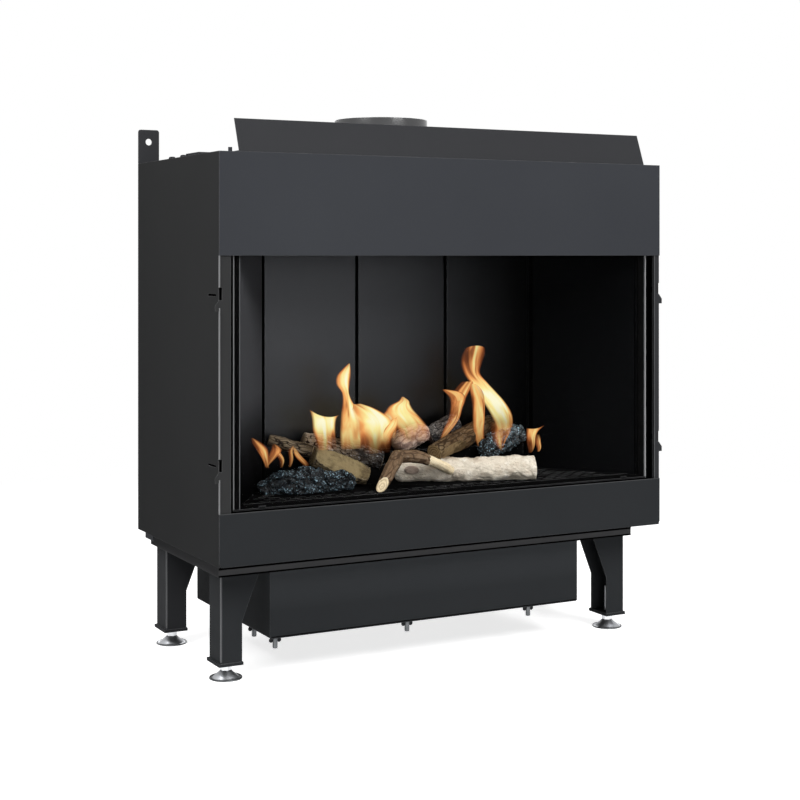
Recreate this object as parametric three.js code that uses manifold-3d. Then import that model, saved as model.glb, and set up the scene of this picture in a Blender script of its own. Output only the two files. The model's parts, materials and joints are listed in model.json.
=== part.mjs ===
// Built-in gas fireplace: a folded steel casing on four levelling legs, a sealed fire
// chamber with a glass front and a log set, and a gas box hanging underneath.
// Millimetres. X runs along the front from left to right, Y from front to back, Z up.
// The origin lies on the floor under the middle of the casing.
import * as THREE from 'three';
import { mergeVertices } from 'three/addons/utils/BufferGeometryUtils.js';
import Module from 'manifold-3d';

const wasm = await Module();
wasm.setup();

// General values
const gap = 0.3; // clearance between pieces that touch
const overrun = 5; // how far a cutting body runs past what it cuts
const weld = 0.001; // corners closer than this are one corner
const sheet = 2; // wall of the folded steel sheet

// Casing, measured from the floor and from its own faces
const casing = { width: 1000, depth: 465, bottom: 234, top: 998 };
const fascia = { upperBottom: 806, lowerTop: 332, cornerCutWide: 4, cornerCutHigh: 7 };
const strip = { leftWidth: 23.5, rightWidth: 16.5 };
const backPanel = { setback: 3.3 };

// Hooks and slots along each front corner, for a finishing frame
const hook = {
  lowerLevel: 155, // bottom of each hook above the casing's bottom
  upperLevel: 470,
  reach: 7.5,
  height: 20,
  noseHeight: 10,
  slotHeight: 23,
  slotWidth: 6,
  leftSlotDepth: 4,
  rightSlotDepth: 2,
  sideSlotRise: 27,
  sideSlotHeight: 4,
  sideSlotStart: 17,
  sideSlotLength: 41,
};

// Top of the casing
const deflector = { endInset: 40, lean: 24.6, height: 63.2, foot: 28 };
const flue = {
  outerRadius: 100,
  innerRadius: 65,
  wall: 1.5,
  fromFront: 326,
  outerTop: 1097,
  innerTop: 1090,
  flangeRadius: 115,
  beadRadius: 101.6,
  beadHeight: 6,
  beadDrop: 26,
  sides: 48,
};
const bracket = {
  width: 45,
  thickness: 3,
  top: 1069.5,
  bottom: 880,
  cornerRadius: 6,
  holeRadius: 7,
  holeDrop: 25.5,
};
const relief = {
  innerEnd: 170,
  outerEnd: 470,
  rimFront: 82,
  rimRear: 168,
  rimRise: 3.2,
  lidFront: 88,
  lidRear: 160,
  lidThickness: 1.5,
  knuckleRadius: 2.5,
  pinRadius: 1,
  knuckleLength: 30,
  earThickness: 1.6,
  knuckleInset: 46,
};
const topStud = { radius: 3.75, height: 9, sideInset: 31, frontInset: 25 };

// Base frame, legs and levelling feet
const frame = {
  sideInset: 25.6,
  frontInset: 68,
  rearInset: 7,
  height: 32,
  flange: 22,
  wall: 2.5,
  notchWidth: 9,
  notchHeight: 8,
};
const notchShares = [-0.896, -0.793, -0.07, 0.05, 0.776, 0.921]; // of the frame's half length
const locatingTab = { sideInset: 12, length: 50, rearInset: 12, height: 17 };
const leg = {
  sideInset: 35,
  frontInset: 83,
  rearInset: 19,
  width: 43.5,
  depth: 58.5,
  wall: 3,
  flare: 35,
  flareBottom: 112,
  slotWidth: 6,
  slotHeight: 47,
  plateBottom: 29,
  plateThickness: 6,
  plateOuterLip: 4,
  plateInnerLip: 2,
  plateFrontLip: 2,
  plateRearLip: 4.5,
};
const foot = {
  discRadius: 32,
  discHeight: 2.4,
  rimWidth: 5,
  coneBottomRadius: 23,
  coneTopRadius: 10.5,
  dishHeight: 4.2,
  coneTop: 15.5,
  hexAcrossFlats: 19,
  studRadius: 6,
  studTop: 88,
  sides: 28,
};

// Fire chamber: inner faces of the liners, measured from the casing's sides and front
const chamber = {
  mouthInset: 49,
  backInset: 183,
  mouthSetback: 25,
  backSetback: 230,
  shellWall: 2,
  floor: 328,
  ceilingDrop: 8, // below the casing's top
  frontSetback: 18.3,
  frontSideInset: 10,
};
const windowFrame = { sideInset: 48, bottom: 336 };
const liner = { thickness: 5, top: 846, jointGap: 8 };
const backLinerNames = ['left', 'centre', 'right'];
const frontRail = { front: 22, step: 32, rear: 44, stepHeight: 9, height: 14, wall: 1.5 };
const glass = {
  sideInset: 31,
  bottom: 334,
  top: 822,
  setback: 10,
  thickness: 4,
  channelLip: 8,
  channelSetback: 4.6,
  channelTop: 828,
  channelWall: 1.8,
};
const gasket = { inset: 1, width: 14 };
const clip = {
  width: 14,
  height: 7,
  railHeight: 3,
  thickness: 1.2,
  standOff: 3,
  centreShare: 0.878, // of the glass's half width
};
const hood = {
  halfWidth: 100,
  topDrop: 38, // below the casing's top
  bottomDrop: 148,
  rear: 410,
  holeRim: 12,
  holeSideRim: 10,
};

// Burner and tray
const tray = {
  front: 46,
  top: 340,
  thickness: 1.5,
  slotLength: 22,
  slotWidth: 6,
  pitchAlong: 32,
  pitchAcross: 15,
  firstRow: 56,
  rowCount: 10,
  margin: 12,
  plainLeft: 330,
  plainRight: 250,
  plainFront: 84,
};
const burnerBox = { halfLength: 300, front: 104, rear: 208, stubRadius: 8, stubDrop: 14 };
// The shares are parts of the casing's width, from its left side
const rearBurner = {
  leftShare: 0.44,
  rightShare: 0.762,
  leftEndShare: 0.215,
  front: 166,
  rear: 214,
  top: 403,
  lowTop: 378,
  lipHeight: 22,
  lipThickness: 2,
  portRadius: 2.2,
  portDepth: 3,
  portPitch: 20,
  portInset: 12,
};
const pilot = {
  hearthShare: [0.2, 0.67],
  footWidth: 26,
  footDepth: 12,
  footHeight: 2,
  hoodRadius: 4,
  hoodHeight: 24,
  rodRadius: 1.4,
  rodHeight: 30,
  spacing: 9,
};

// Log set. Ends are shares of the hearth: across from its middle in half widths of
// the chamber's mouth, and back from the casing's front in chamber depths.
const logs = {
  char_log_left: {
    startShare: [-0.811, 0.617], endShare: [-0.372, 0.515],
    startRise: 16, endRise: 15, startRadius: 18, middleRadius: 29, endRadius: 16,
    lumpShare: 0.13, flatShare: 0.9, tone: 0x1f2730,
  },
  ash_log: {
    startShare: [-0.1, 0.717], endShare: [0.506, 0.313],
    startRise: 22, endRise: 22, startRadius: 20, middleRadius: 25, endRadius: 25,
    lumpShare: 0.05, flatShare: 1, tone: 0xb7ada0,
  },
  split_log: {
    startShare: [-0.522, 0.717], endShare: [-0.283, 0.617],
    startRise: 64, endRise: 19, startRadius: 21, middleRadius: 23, endRadius: 19,
    lumpShare: 0.04, flatShare: 0.8, tone: 0x8a7350,
  },
  charred_log: {
    startShare: [-0.532, 0.887], endShare: [-0.178, 0.748],
    startRise: 91, endRise: 45, startRadius: 18, middleRadius: 22, endRadius: 19,
    lumpShare: 0.07, flatShare: 1, tone: 0x5b534b,
  },
  pink_ash_log: {
    startShare: [-0.083, 0.8], endShare: [0.076, 0.835],
    startRise: 77, endRise: 96, startRadius: 19, middleRadius: 22, endRadius: 18,
    lumpShare: 0.06, flatShare: 1, tone: 0xa08d80,
  },
  grey_log: {
    startShare: [0.105, 0.843], endShare: [0.25, 0.848],
    startRise: 82, endRise: 113, startRadius: 20, middleRadius: 22, endRadius: 18,
    lumpShare: 0.06, flatShare: 1, tone: 0x6d6a66,
  },
  brown_log: {
    startShare: [0.05, 0.557], endShare: [0.448, 0.885],
    startRise: 58, endRise: 107, startRadius: 18, middleRadius: 20, endRadius: 16,
    lumpShare: 0.05, flatShare: 1, tone: 0x5d4636,
  },
  char_log_right: {
    startShare: [0.308, 0.513], endShare: [0.575, 0.748],
    startRise: 60, endRise: 86, startRadius: 19, middleRadius: 22, endRadius: 16,
    lumpShare: 0.12, flatShare: 1, tone: 0x2a333d,
  },
  thin_log: {
    startShare: [-0.686, 0.939], endShare: [-0.514, 0.774],
    startRise: 95, endRise: 71, startRadius: 11, middleRadius: 12, endRadius: 12,
    lumpShare: 0.04, flatShare: 1, tone: 0x5a4838,
  },
};
const branch = {
  stemStartShare: [-0.308, 0.226],
  forkShare: [-0.17, 0.435],
  limbEndShare: [0.106, 0.443],
  stemStartRise: 12,
  forkRise: 61,
  limbMiddleRise: 52,
  limbEndRise: 22,
  stemRadius: 13.5,
  forkRadius: 14,
  limbRadius: 12,
  limbEndRadius: 10,
  lumpShare: 0.04,
  tone: 0x5f4634,
};
const logRings = 10;
const logSides = 10;

// Gas box under the casing, with its service lid
const gasBox = {
  leftInset: 130,
  rightInset: 164,
  front: 70,
  rear: 462,
  bottom: 74,
  flange: 16,
  lidRecess: 2,
  lidOpeningRim: 24,
  cornerRadius: 4,
  inletFromFront: 400,
  inletHeight: 142,
  inletRadius: 9,
  unionRadius: 14,
  unionLength: 16,
  inletReach: 30,
};
const lid = {
  thickness: 1.7,
  margin: 7.4,
  firstInset: 15,
  frontInset: 10,
  pitchAlongShare: 0.4065, // of the gas box's length
  pitchAcross: 104,
};
const lidColumns = 3;
const lidRows = 2;
const wingNut = {
  studRadius: 3,
  boreClearance: 0.3,
  hubRadius: 5,
  hubHeight: 20.5,
  baseRadius: 6.5,
  baseHeight: 2,
  wingReach: 12.8,
  wingTop: 1,
  wingBottom: 10.5,
  wingThickness: 2.4,
  studEnd: 19,
};
const valve = {
  fromLeft: 262,
  fromFront: 112,
  length: 96,
  depth: 52,
  bottom: 106,
  height: 54,
  bracketThickness: 2,
  bracketFoot: 30,
  solenoidRadius: 13,
  solenoidHeight: 24,
  solenoidShares: [0.3, 0.72],
};
const knob = { radius: 15, length: 16, gripWidth: 5, gripHeight: 4, shareAlong: 0.28 };
const pipe = { radius: 5, bend: 24, sides: 8 };

// Places worked out from the casing
const left = -casing.width / 2;
const right = casing.width / 2;
const front = -casing.depth / 2;
const back = casing.depth / 2;
const mouthHalf = right - chamber.mouthInset;
const backHalf = right - chamber.backInset;
const mouthY = front + chamber.mouthSetback;
const chamberBackY = front + chamber.backSetback;
const chamberDepth = chamberBackY - mouthY;
const ceiling = casing.top - chamber.ceilingDrop;
const hoodTop = casing.top - hood.topDrop;
const hoodBottom = casing.top - hood.bottomDrop;
const plateHalf = right - chamber.frontSideInset;
const windowHalf = right - windowFrame.sideInset;
const glassHalf = right - glass.sideInset;
const sideNames = [['left', -1], ['right', 1]];

const fireplace = new THREE.Group();

// Finishes: colour, roughness and metalness
const finishes = {
  blackSteel: [0x2c2d2f, 0.55, 0.3],
  darkLiner: [0x232426, 0.6, 0.2],
  blackIron: [0x17181a, 0.7, 0.4],
  zincSteel: [0x8d9094, 0.4, 0.9],
  chrome: [0xc9ccd0, 0.18, 1],
  flueSteel: [0x3a3c3f, 0.3, 0.85],
  clearGlass: [0x9aa4a8, 0.05, 0],
  ropeSeal: [0x1d1c1b, 0.95, 0],
  brass: [0xb08a4a, 0.35, 0.9],
  knobPlastic: [0x1a1a1c, 0.5, 0],
};

function material(finish) {
  const [color, roughness, metalness] = finishes[finish];
  return new THREE.MeshStandardMaterial({ color, roughness, metalness });
}

// Shapes and bodies

function toSolid(geometry) {
  const bare = geometry.clone();
  bare.deleteAttribute('normal');
  bare.deleteAttribute('uv');
  const merged = mergeVertices(bare, weld);
  const vertProperties = new Float32Array(merged.attributes.position.array);
  const triVerts = new Uint32Array(merged.index.array);
  return new wasm.Manifold(new wasm.Mesh({ numProp: 3, vertProperties, triVerts }));
}

function toGeometry(solid) {
  const mesh = solid.getMesh();
  const geometry = new THREE.BufferGeometry();
  geometry.setAttribute('position', new THREE.BufferAttribute(mesh.vertProperties, 3));
  geometry.setIndex(new THREE.BufferAttribute(mesh.triVerts, 1));
  geometry.computeVertexNormals();
  return geometry;
}

function join(...solids) {
  return solids.reduce((whole, solid) => whole.add(solid));
}

function cut(body, ...tools) {
  return tools.reduce((whole, tool) => whole.subtract(tool), body);
}

// A block between two opposite corners, given in any order
function block(cornerA, cornerB) {
  const size = cornerA.map((value, axis) => Math.abs(cornerB[axis] - value));
  const middle = cornerA.map((value, axis) => (cornerB[axis] + value) / 2);
  const geometry = new THREE.BoxGeometry(...size);
  geometry.translate(...middle);
  return toSolid(geometry);
}

function outline(points, holes = []) {
  const shape = new THREE.Shape(points.map(([a, b]) => new THREE.Vector2(a, b)));
  shape.holes.push(...holes);
  return shape;
}

function circle(a, b, radius) {
  const path = new THREE.Path();
  path.absarc(a, b, radius, 0, 2 * Math.PI, true);
  return path;
}

// A shape pushed along one axis. Along x the shape is drawn in y and z, along y in
// x and z, and along z in x and y.
function prism(shape, axis, from, to, curveSegments = 10) {
  const depth = Math.abs(to - from);
  const low = Math.min(from, to);
  const drawn = shape.extractPoints(curveSegments);
  const rim = drawn.shape;
  if (THREE.ShapeUtils.isClockWise(rim)) rim.reverse();
  const ordered = new THREE.Shape(rim);
  for (const hole of drawn.holes) {
    if (!THREE.ShapeUtils.isClockWise(hole)) hole.reverse();
    ordered.holes.push(new THREE.Path(hole));
  }
  const geometry = new THREE.ExtrudeGeometry(ordered, { depth, bevelEnabled: false });
  const x = new THREE.Vector3(1, 0, 0);
  const y = new THREE.Vector3(0, 1, 0);
  const z = new THREE.Vector3(0, 0, 1);
  const turn = new THREE.Matrix4();
  if (axis === 'x') turn.makeBasis(y, z, x).setPosition(low, 0, 0);
  if (axis === 'y') turn.makeBasis(x, z, y.negate()).setPosition(0, low + depth, 0);
  if (axis === 'z') turn.setPosition(0, 0, low);
  geometry.applyMatrix4(turn);
  return toSolid(geometry);
}

// A round bar standing along z, or lying along x
function bar(centre, radius, from, to, sides = flue.sides, axis = 'z') {
  const geometry = new THREE.CylinderGeometry(radius, radius, to - from, sides);
  if (axis === 'z') geometry.rotateX(Math.PI / 2);
  if (axis === 'x') geometry.rotateZ(-Math.PI / 2);
  const middle = (from + to) / 2;
  if (axis === 'z') geometry.translate(centre[0], centre[1], middle);
  if (axis === 'x') geometry.translate(middle, centre[0], centre[1]);
  return toSolid(geometry);
}

// A turned body about z, from a profile of radius and height that closes on itself
function turned(profile, sides) {
  const points = profile.map(([radius, height]) => new THREE.Vector2(radius, height));
  const geometry = new THREE.LatheGeometry(points, sides);
  geometry.rotateX(Math.PI / 2);
  return toSolid(geometry);
}

function addPart(name, solid, surface, parent = fireplace) {
  const mesh = new THREE.Mesh(toGeometry(solid), surface);
  mesh.name = name;
  parent.add(mesh);
  return mesh;
}

// Place across the casing, as a share of its width from the left side
function acrossCasing(share) {
  return left + share * casing.width;
}

// Half the width of the chamber at a depth, with its walls moved outwards
function wallX(y, outwards = 0) {
  const run = mouthHalf - backHalf;
  const slant = Math.hypot(run, chamberDepth);
  const atMouth = mouthHalf + (outwards * slant) / chamberDepth;
  return atMouth - ((y - mouthY) * run) / chamberDepth;
}

// Plan of the chamber from a front line back to its rear wall, moved outwards
function chamberPlan(frontY, outwards) {
  const rearY = chamberBackY + outwards;
  const frontX = wallX(frontY, outwards);
  const rearX = wallX(rearY, outwards);
  return [[-frontX, frontY], [-rearX, rearY], [rearX, rearY], [frontX, frontY]];
}

function buildSidePanel(side, stripWidth, name) {
  const face = side * right;
  const frontY = front + sheet + gap;
  const wall = block([face, frontY, casing.bottom], [face - side * sheet, back, casing.top]);
  const flangeEnd = face - side * stripWidth;
  const flange = block([face, frontY, casing.bottom], [flangeEnd, frontY + sheet, casing.top]);
  const slotDepth = side < 0 ? hook.leftSlotDepth : hook.rightSlotDepth;
  let panel = join(wall, flange);
  for (const level of [hook.lowerLevel, hook.upperLevel]) {
    const bottom = casing.bottom + level;
    const nose = outline([
      [face - side * sheet, bottom],
      [face + side * hook.reach, bottom],
      [face + side * hook.reach, bottom + hook.noseHeight],
      [face, bottom + hook.height],
      [face - side * sheet, bottom + hook.height],
    ]);
    panel = panel.add(prism(nose, 'y', frontY, frontY + sheet));
    const slotBottom = bottom + hook.height + gap;
    const cornerSlot = block(
      [face + side * overrun, frontY - overrun, slotBottom],
      [face - side * hook.slotWidth, frontY + slotDepth, slotBottom + hook.slotHeight],
    );
    const slotY = front + hook.sideSlotStart;
    const sideBottom = bottom + hook.sideSlotRise;
    const sideSlot = block(
      [face + side * overrun, slotY, sideBottom],
      [face - side * overrun, slotY + hook.sideSlotLength, sideBottom + hook.sideSlotHeight],
    );
    panel = cut(panel, cornerSlot, sideSlot);
  }
  addPart(`${name}_side_panel`, panel, material('blackSteel'));
}

function buildCasing() {
  buildSidePanel(-1, strip.leftWidth, 'left');
  buildSidePanel(1, strip.rightWidth, 'right');
  const inside = right - sheet - gap;

  addPart('upper_fascia', block([left, front, fascia.upperBottom], [right, front + sheet, casing.top]),
    material('blackSteel'));

  const lower = outline([
    [left + fascia.cornerCutWide, casing.bottom],
    [right - fascia.cornerCutWide, casing.bottom],
    [right, casing.bottom + fascia.cornerCutHigh],
    [right, fascia.lowerTop],
    [left, fascia.lowerTop],
    [left, casing.bottom + fascia.cornerCutHigh],
  ]);
  addPart('lower_fascia', prism(lower, 'y', front, front + sheet), material('blackSteel'));

  const rearOuter = back - backPanel.setback;
  const panFront = front + sheet + gap + sheet + gap;
  const panRear = rearOuter - sheet - gap;
  const panTop = casing.bottom + sheet;
  let pan = block([-inside, panFront, casing.bottom], [inside, panRear, panTop]);
  for (const [, side] of sideNames) {
    const outer = side * (right - locatingTab.sideInset);
    const tabRear = back - locatingTab.rearInset;
    const tabBottom = casing.bottom - locatingTab.height;
    const rail = side * (right - frame.sideInset + gap);
    const tabFront = tabRear - locatingTab.length;
    const lengthwise = block([outer, tabFront, tabBottom], [outer - side * sheet, tabRear, panTop]);
    const across = block([outer, tabRear - sheet, tabBottom], [rail, tabRear, panTop]);
    pan = join(pan, lengthwise, across);
  }
  const pipeHole = bar([feedPipeX(), feedPipeY()], pipe.radius + sheet, casing.bottom - overrun,
    panTop + overrun, pipe.sides * 2);
  addPart('bottom_pan', cut(pan, pipeHole), material('blackSteel'));

  const rearTop = casing.top - sheet - gap;
  const rearPanel = block([-inside, rearOuter - sheet, panTop + gap], [inside, rearOuter, rearTop]);
  addPart('back_panel', rearPanel, material('blackSteel'));

  buildTopPanel(inside, rearOuter);
}

// Depth, height and ends of the two knuckles of a relief flap
const reliefPinY = front + relief.lidRear + relief.knuckleRadius;
const reliefPinZ = casing.top + relief.rimRise + gap + relief.knuckleRadius;
const knuckleStarts = [
  relief.innerEnd + relief.knuckleInset,
  relief.outerEnd - relief.knuckleInset - relief.knuckleLength,
];

function buildTopPanel(inside, rearOuter) {
  const low = casing.top - sheet;
  let panel = block([-inside, front + sheet + gap + sheet + gap, low], [inside, rearOuter, casing.top]);
  panel = panel.subtract(
    bar([0, front + flue.fromFront], flue.outerRadius - 2 * flue.wall, low - overrun, casing.top + overrun),
  );
  for (const [, side] of sideNames) {
    const frontY = front + relief.rimFront;
    const rearY = front + relief.rimRear;
    const ends = [side * relief.innerEnd, side * relief.outerEnd];
    const rimTop = casing.top + relief.rimRise;
    const rim = block([ends[0], frontY, low], [ends[1], rearY, rimTop]);
    const throat = block(
      [ends[0] + side * sheet, frontY + relief.lidFront - relief.rimFront + sheet, low - overrun],
      [ends[1] - side * sheet, reliefPinY - relief.knuckleRadius - sheet, rimTop + overrun],
    );
    panel = panel.add(rim).subtract(throat);
    for (const start of knuckleStarts) {
      const pinFrom = start - relief.earThickness - gap;
      const pinTo = start + relief.knuckleLength + relief.earThickness + gap;
      const pin = bar([reliefPinY, reliefPinZ], relief.pinRadius, Math.min(side * pinFrom, side * pinTo),
        Math.max(side * pinFrom, side * pinTo), pipe.sides, 'x');
      panel = panel.add(pin);
      const earHalf = relief.pinRadius * 2;
      for (const earStart of [pinFrom, pinTo - relief.earThickness]) {
        const earEnd = earStart + relief.earThickness;
        panel = panel.add(block(
          [side * earStart, reliefPinY - earHalf, rimTop - sheet / 2],
          [side * earEnd, reliefPinY + earHalf, reliefPinZ + earHalf],
        ));
      }
    }
    const stud = bar([side * (right - topStud.sideInset), front + topStud.frontInset], topStud.radius,
      low, casing.top + topStud.height, pipe.sides * 2);
    panel = panel.add(stud);
  }
  addPart('top_panel', panel, material('blackSteel'));
}

function buildDeflector() {
  const footY = front + sheet + gap;
  const bottom = casing.top + gap;
  const slope = deflector.lean / deflector.height;
  const across = sheet * Math.hypot(1, slope);
  const profile = outline([
    [footY, bottom],
    [footY + deflector.foot, bottom],
    [footY + deflector.foot, bottom + sheet],
    [footY + across + sheet * slope, bottom + sheet],
    [footY + across + deflector.lean, bottom + deflector.height],
    [footY + deflector.lean, bottom + deflector.height],
  ]);
  // The foot is cut back round the two studs that stand at its ends
  let body = prism(profile, 'x', left + deflector.endInset, right - deflector.endInset);
  for (const [, side] of sideNames) {
    const stud = bar([side * (right - topStud.sideInset), front + topStud.frontInset], topStud.radius + gap,
      bottom - overrun, bottom + topStud.height + overrun, pipe.sides * 2);
    body = body.subtract(stud);
  }
  addPart('heat_deflector', body, material('blackSteel'));
}

function buildFlue() {
  const centreY = front + flue.fromFront;
  const { outerRadius: radius, wall } = flue;
  const base = casing.top + gap;
  const beadBottom = flue.outerTop - flue.beadDrop;
  const collar = turned([
    [radius - wall, base],
    [flue.flangeRadius, base],
    [flue.flangeRadius, base + wall],
    [radius, base + wall],
    [radius, beadBottom],
    [flue.beadRadius, beadBottom + flue.beadHeight / 2],
    [radius, beadBottom + flue.beadHeight],
    [radius, flue.outerTop],
    [radius - wall, flue.outerTop],
    [radius - wall, base],
  ], flue.sides);
  addPart('flue_collar', collar, material('flueSteel')).position.set(0, centreY, 0);

  const inner = flue.innerRadius;
  const pipeBody = turned([
    [inner - wall, hoodTop + gap],
    [inner, hoodTop + gap],
    [inner, flue.innerTop],
    [inner - wall, flue.innerTop],
    [inner - wall, hoodTop + gap],
  ], flue.sides);
  addPart('flue_inner_pipe', pipeBody, material('zincSteel')).position.set(0, centreY, 0);

  const shellBack = chamberBackY + liner.thickness + gap + chamber.shellWall;
  const hoodFront = shellBack + gap;
  const hoodRear = front + hood.rear;
  const wallIn = chamber.shellWall;
  const outer = block([-hood.halfWidth, hoodFront, hoodBottom], [hood.halfWidth, hoodRear, hoodTop]);
  const space = block(
    [-hood.halfWidth + wallIn, hoodFront - overrun, hoodBottom + wallIn],
    [hood.halfWidth - wallIn, hoodRear - wallIn, hoodTop - wallIn],
  );
  const outlet = bar([0, centreY], inner - wall, hoodTop - overrun, hoodTop + overrun);
  addPart('exhaust_hood', cut(outer, space, outlet), material('zincSteel'));
}

function buildBracket(name, side) {
  const outer = side * right;
  const inner = side * (right - bracket.width);
  const low = casing.top + gap;
  const inset = side * (sheet + gap);
  const shape = new THREE.Shape();
  shape.moveTo(outer - inset, bracket.bottom);
  shape.lineTo(outer - inset, low);
  shape.lineTo(outer, low);
  shape.lineTo(outer, bracket.top - bracket.cornerRadius);
  shape.quadraticCurveTo(outer, bracket.top, outer - side * bracket.cornerRadius, bracket.top);
  shape.lineTo(inner + side * bracket.cornerRadius, bracket.top);
  shape.quadraticCurveTo(inner, bracket.top, inner, bracket.top - bracket.cornerRadius);
  shape.lineTo(inner, bracket.bottom);
  shape.holes.push(circle((outer + inner) / 2, bracket.top - bracket.holeDrop, bracket.holeRadius));
  addPart(`${name}_wall_bracket`, prism(shape, 'y', back - bracket.thickness, back), material('blackSteel'));
}

// A relief flap turns about a pin along its rear edge, so it hangs in a group there
function buildReliefFlap(name, side) {
  const hinge = new THREE.Group();
  hinge.position.set(0, reliefPinY, reliefPinZ);
  fireplace.add(hinge);
  const under = casing.top + relief.rimRise + gap - reliefPinZ;
  const from = side * relief.innerEnd;
  const to = side * relief.outerEnd;
  const frontY = front + relief.lidFront - reliefPinY;
  const rearY = -relief.knuckleRadius - gap;
  let flap = block([from, frontY, under], [to, rearY, under + relief.lidThickness]);
  for (const start of knuckleStarts) {
    const ends = [side * start, side * (start + relief.knuckleLength)].sort((a, b) => a - b);
    const barrel = bar([0, 0], relief.knuckleRadius, ends[0], ends[1], pipe.sides * 2, 'x');
    const leaf = block([ends[0], rearY - sheet, under], [ends[1], 0, under + relief.lidThickness]);
    const bore = bar([0, 0], relief.pinRadius + gap, ends[0] - overrun, ends[1] + overrun,
      pipe.sides * 2, 'x');
    flap = flap.add(barrel.add(leaf)).subtract(bore);
  }
  addPart(`${name}_relief_flap`, flap, material('blackSteel'), hinge);
}

function buildBaseFrame() {
  const halfLength = right - frame.sideInset;
  const frontY = front + frame.frontInset;
  const rearY = back - frame.rearInset;
  const top = casing.bottom - gap;
  const bottom = top - frame.height;
  const { flange, wall } = frame;
  const outer = block([-halfLength, frontY, bottom], [halfLength, rearY, top]);
  const inner = block(
    [-halfLength + flange, frontY + flange, bottom - overrun],
    [halfLength - flange, rearY - flange, top + overrun],
  );
  const channel = block(
    [-halfLength + wall, frontY + wall, bottom + wall],
    [halfLength - wall, rearY - wall, top - wall],
  );
  let body = cut(outer, inner, channel);
  for (const share of notchShares) {
    const x = share * halfLength;
    body = body.subtract(block(
      [x - frame.notchWidth / 2, frontY - overrun, top - frame.notchHeight],
      [x + frame.notchWidth / 2, frontY + wall + gap, top - wall - gap],
    ));
  }
  addPart('base_frame', body, material('blackSteel'));
}

// One leg: a web on the outer side and two flared plates, standing on its foot plate
function buildLeg(name, side, frontY) {
  const top = casing.bottom - gap - frame.height - gap;
  const plateTop = leg.plateBottom + leg.plateThickness;
  const outer = side * (right - leg.sideInset);
  const inwards = (distance) => outer - side * distance;
  const rearY = frontY + leg.depth;
  const web = block([outer, frontY, plateTop - sheet], [inwards(leg.wall), rearY, top]);
  const flared = outline([
    [outer, plateTop - sheet],
    [inwards(leg.width), plateTop - sheet],
    [inwards(leg.width), leg.flareBottom],
    [inwards(leg.width + leg.flare), top],
    [outer, top],
  ]);
  const frontPlate = prism(flared, 'y', frontY, frontY + leg.wall);
  const rearPlate = prism(flared, 'y', rearY - leg.wall, rearY);
  const reliefSlot = block(
    [inwards(leg.wall), rearY - leg.wall - gap, plateTop],
    [inwards(leg.wall + leg.slotWidth), rearY + overrun, plateTop + leg.slotHeight],
  );
  const footPlate = block(
    [outer + side * leg.plateOuterLip, frontY - leg.plateFrontLip, leg.plateBottom],
    [inwards(leg.width + leg.plateInnerLip), rearY + leg.plateRearLip, plateTop],
  );
  const centre = legCentre(side, frontY);
  const hole = bar(centre, foot.studRadius + gap, leg.plateBottom - overrun, plateTop + overrun, foot.sides);
  const body = cut(join(web, frontPlate, rearPlate.subtract(reliefSlot), footPlate), hole);
  addPart(`${name}_leg`, body, material('blackSteel'));
}

function legCentre(side, frontY) {
  return [side * (right - leg.sideInset - leg.width / 2), frontY + leg.depth / 2];
}

function buildFoot(name, side, frontY) {
  const [x, y] = legCentre(side, frontY);
  const dish = turned([
    [0, 0],
    [foot.discRadius, 0],
    [foot.discRadius, foot.discHeight],
    [foot.discRadius - foot.rimWidth, foot.discHeight],
    [foot.coneBottomRadius, foot.dishHeight],
    [foot.coneTopRadius, foot.coneTop],
    [0, foot.coneTop],
  ], foot.sides);
  const hexRadius = foot.hexAcrossFlats / Math.sqrt(3);
  const hex = bar([0, 0], hexRadius, foot.coneTop - gap, leg.plateBottom - gap, 6);
  const stud = bar([0, 0], foot.studRadius, foot.coneTop - gap, foot.studTop, foot.sides / 2);
  addPart(`${name}_foot`, join(dish, hex, stud), material('chrome')).position.set(x, y, 0);
}

function buildLegs() {
  const rows = [['front', front + leg.frontInset], ['rear', back - leg.rearInset - leg.depth]];
  for (const [row, frontY] of rows) {
    for (const [sideName, side] of sideNames) {
      buildLeg(`${row}_${sideName}`, side, frontY);
      buildFoot(`${row}_${sideName}`, side, frontY);
    }
  }
}

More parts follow.
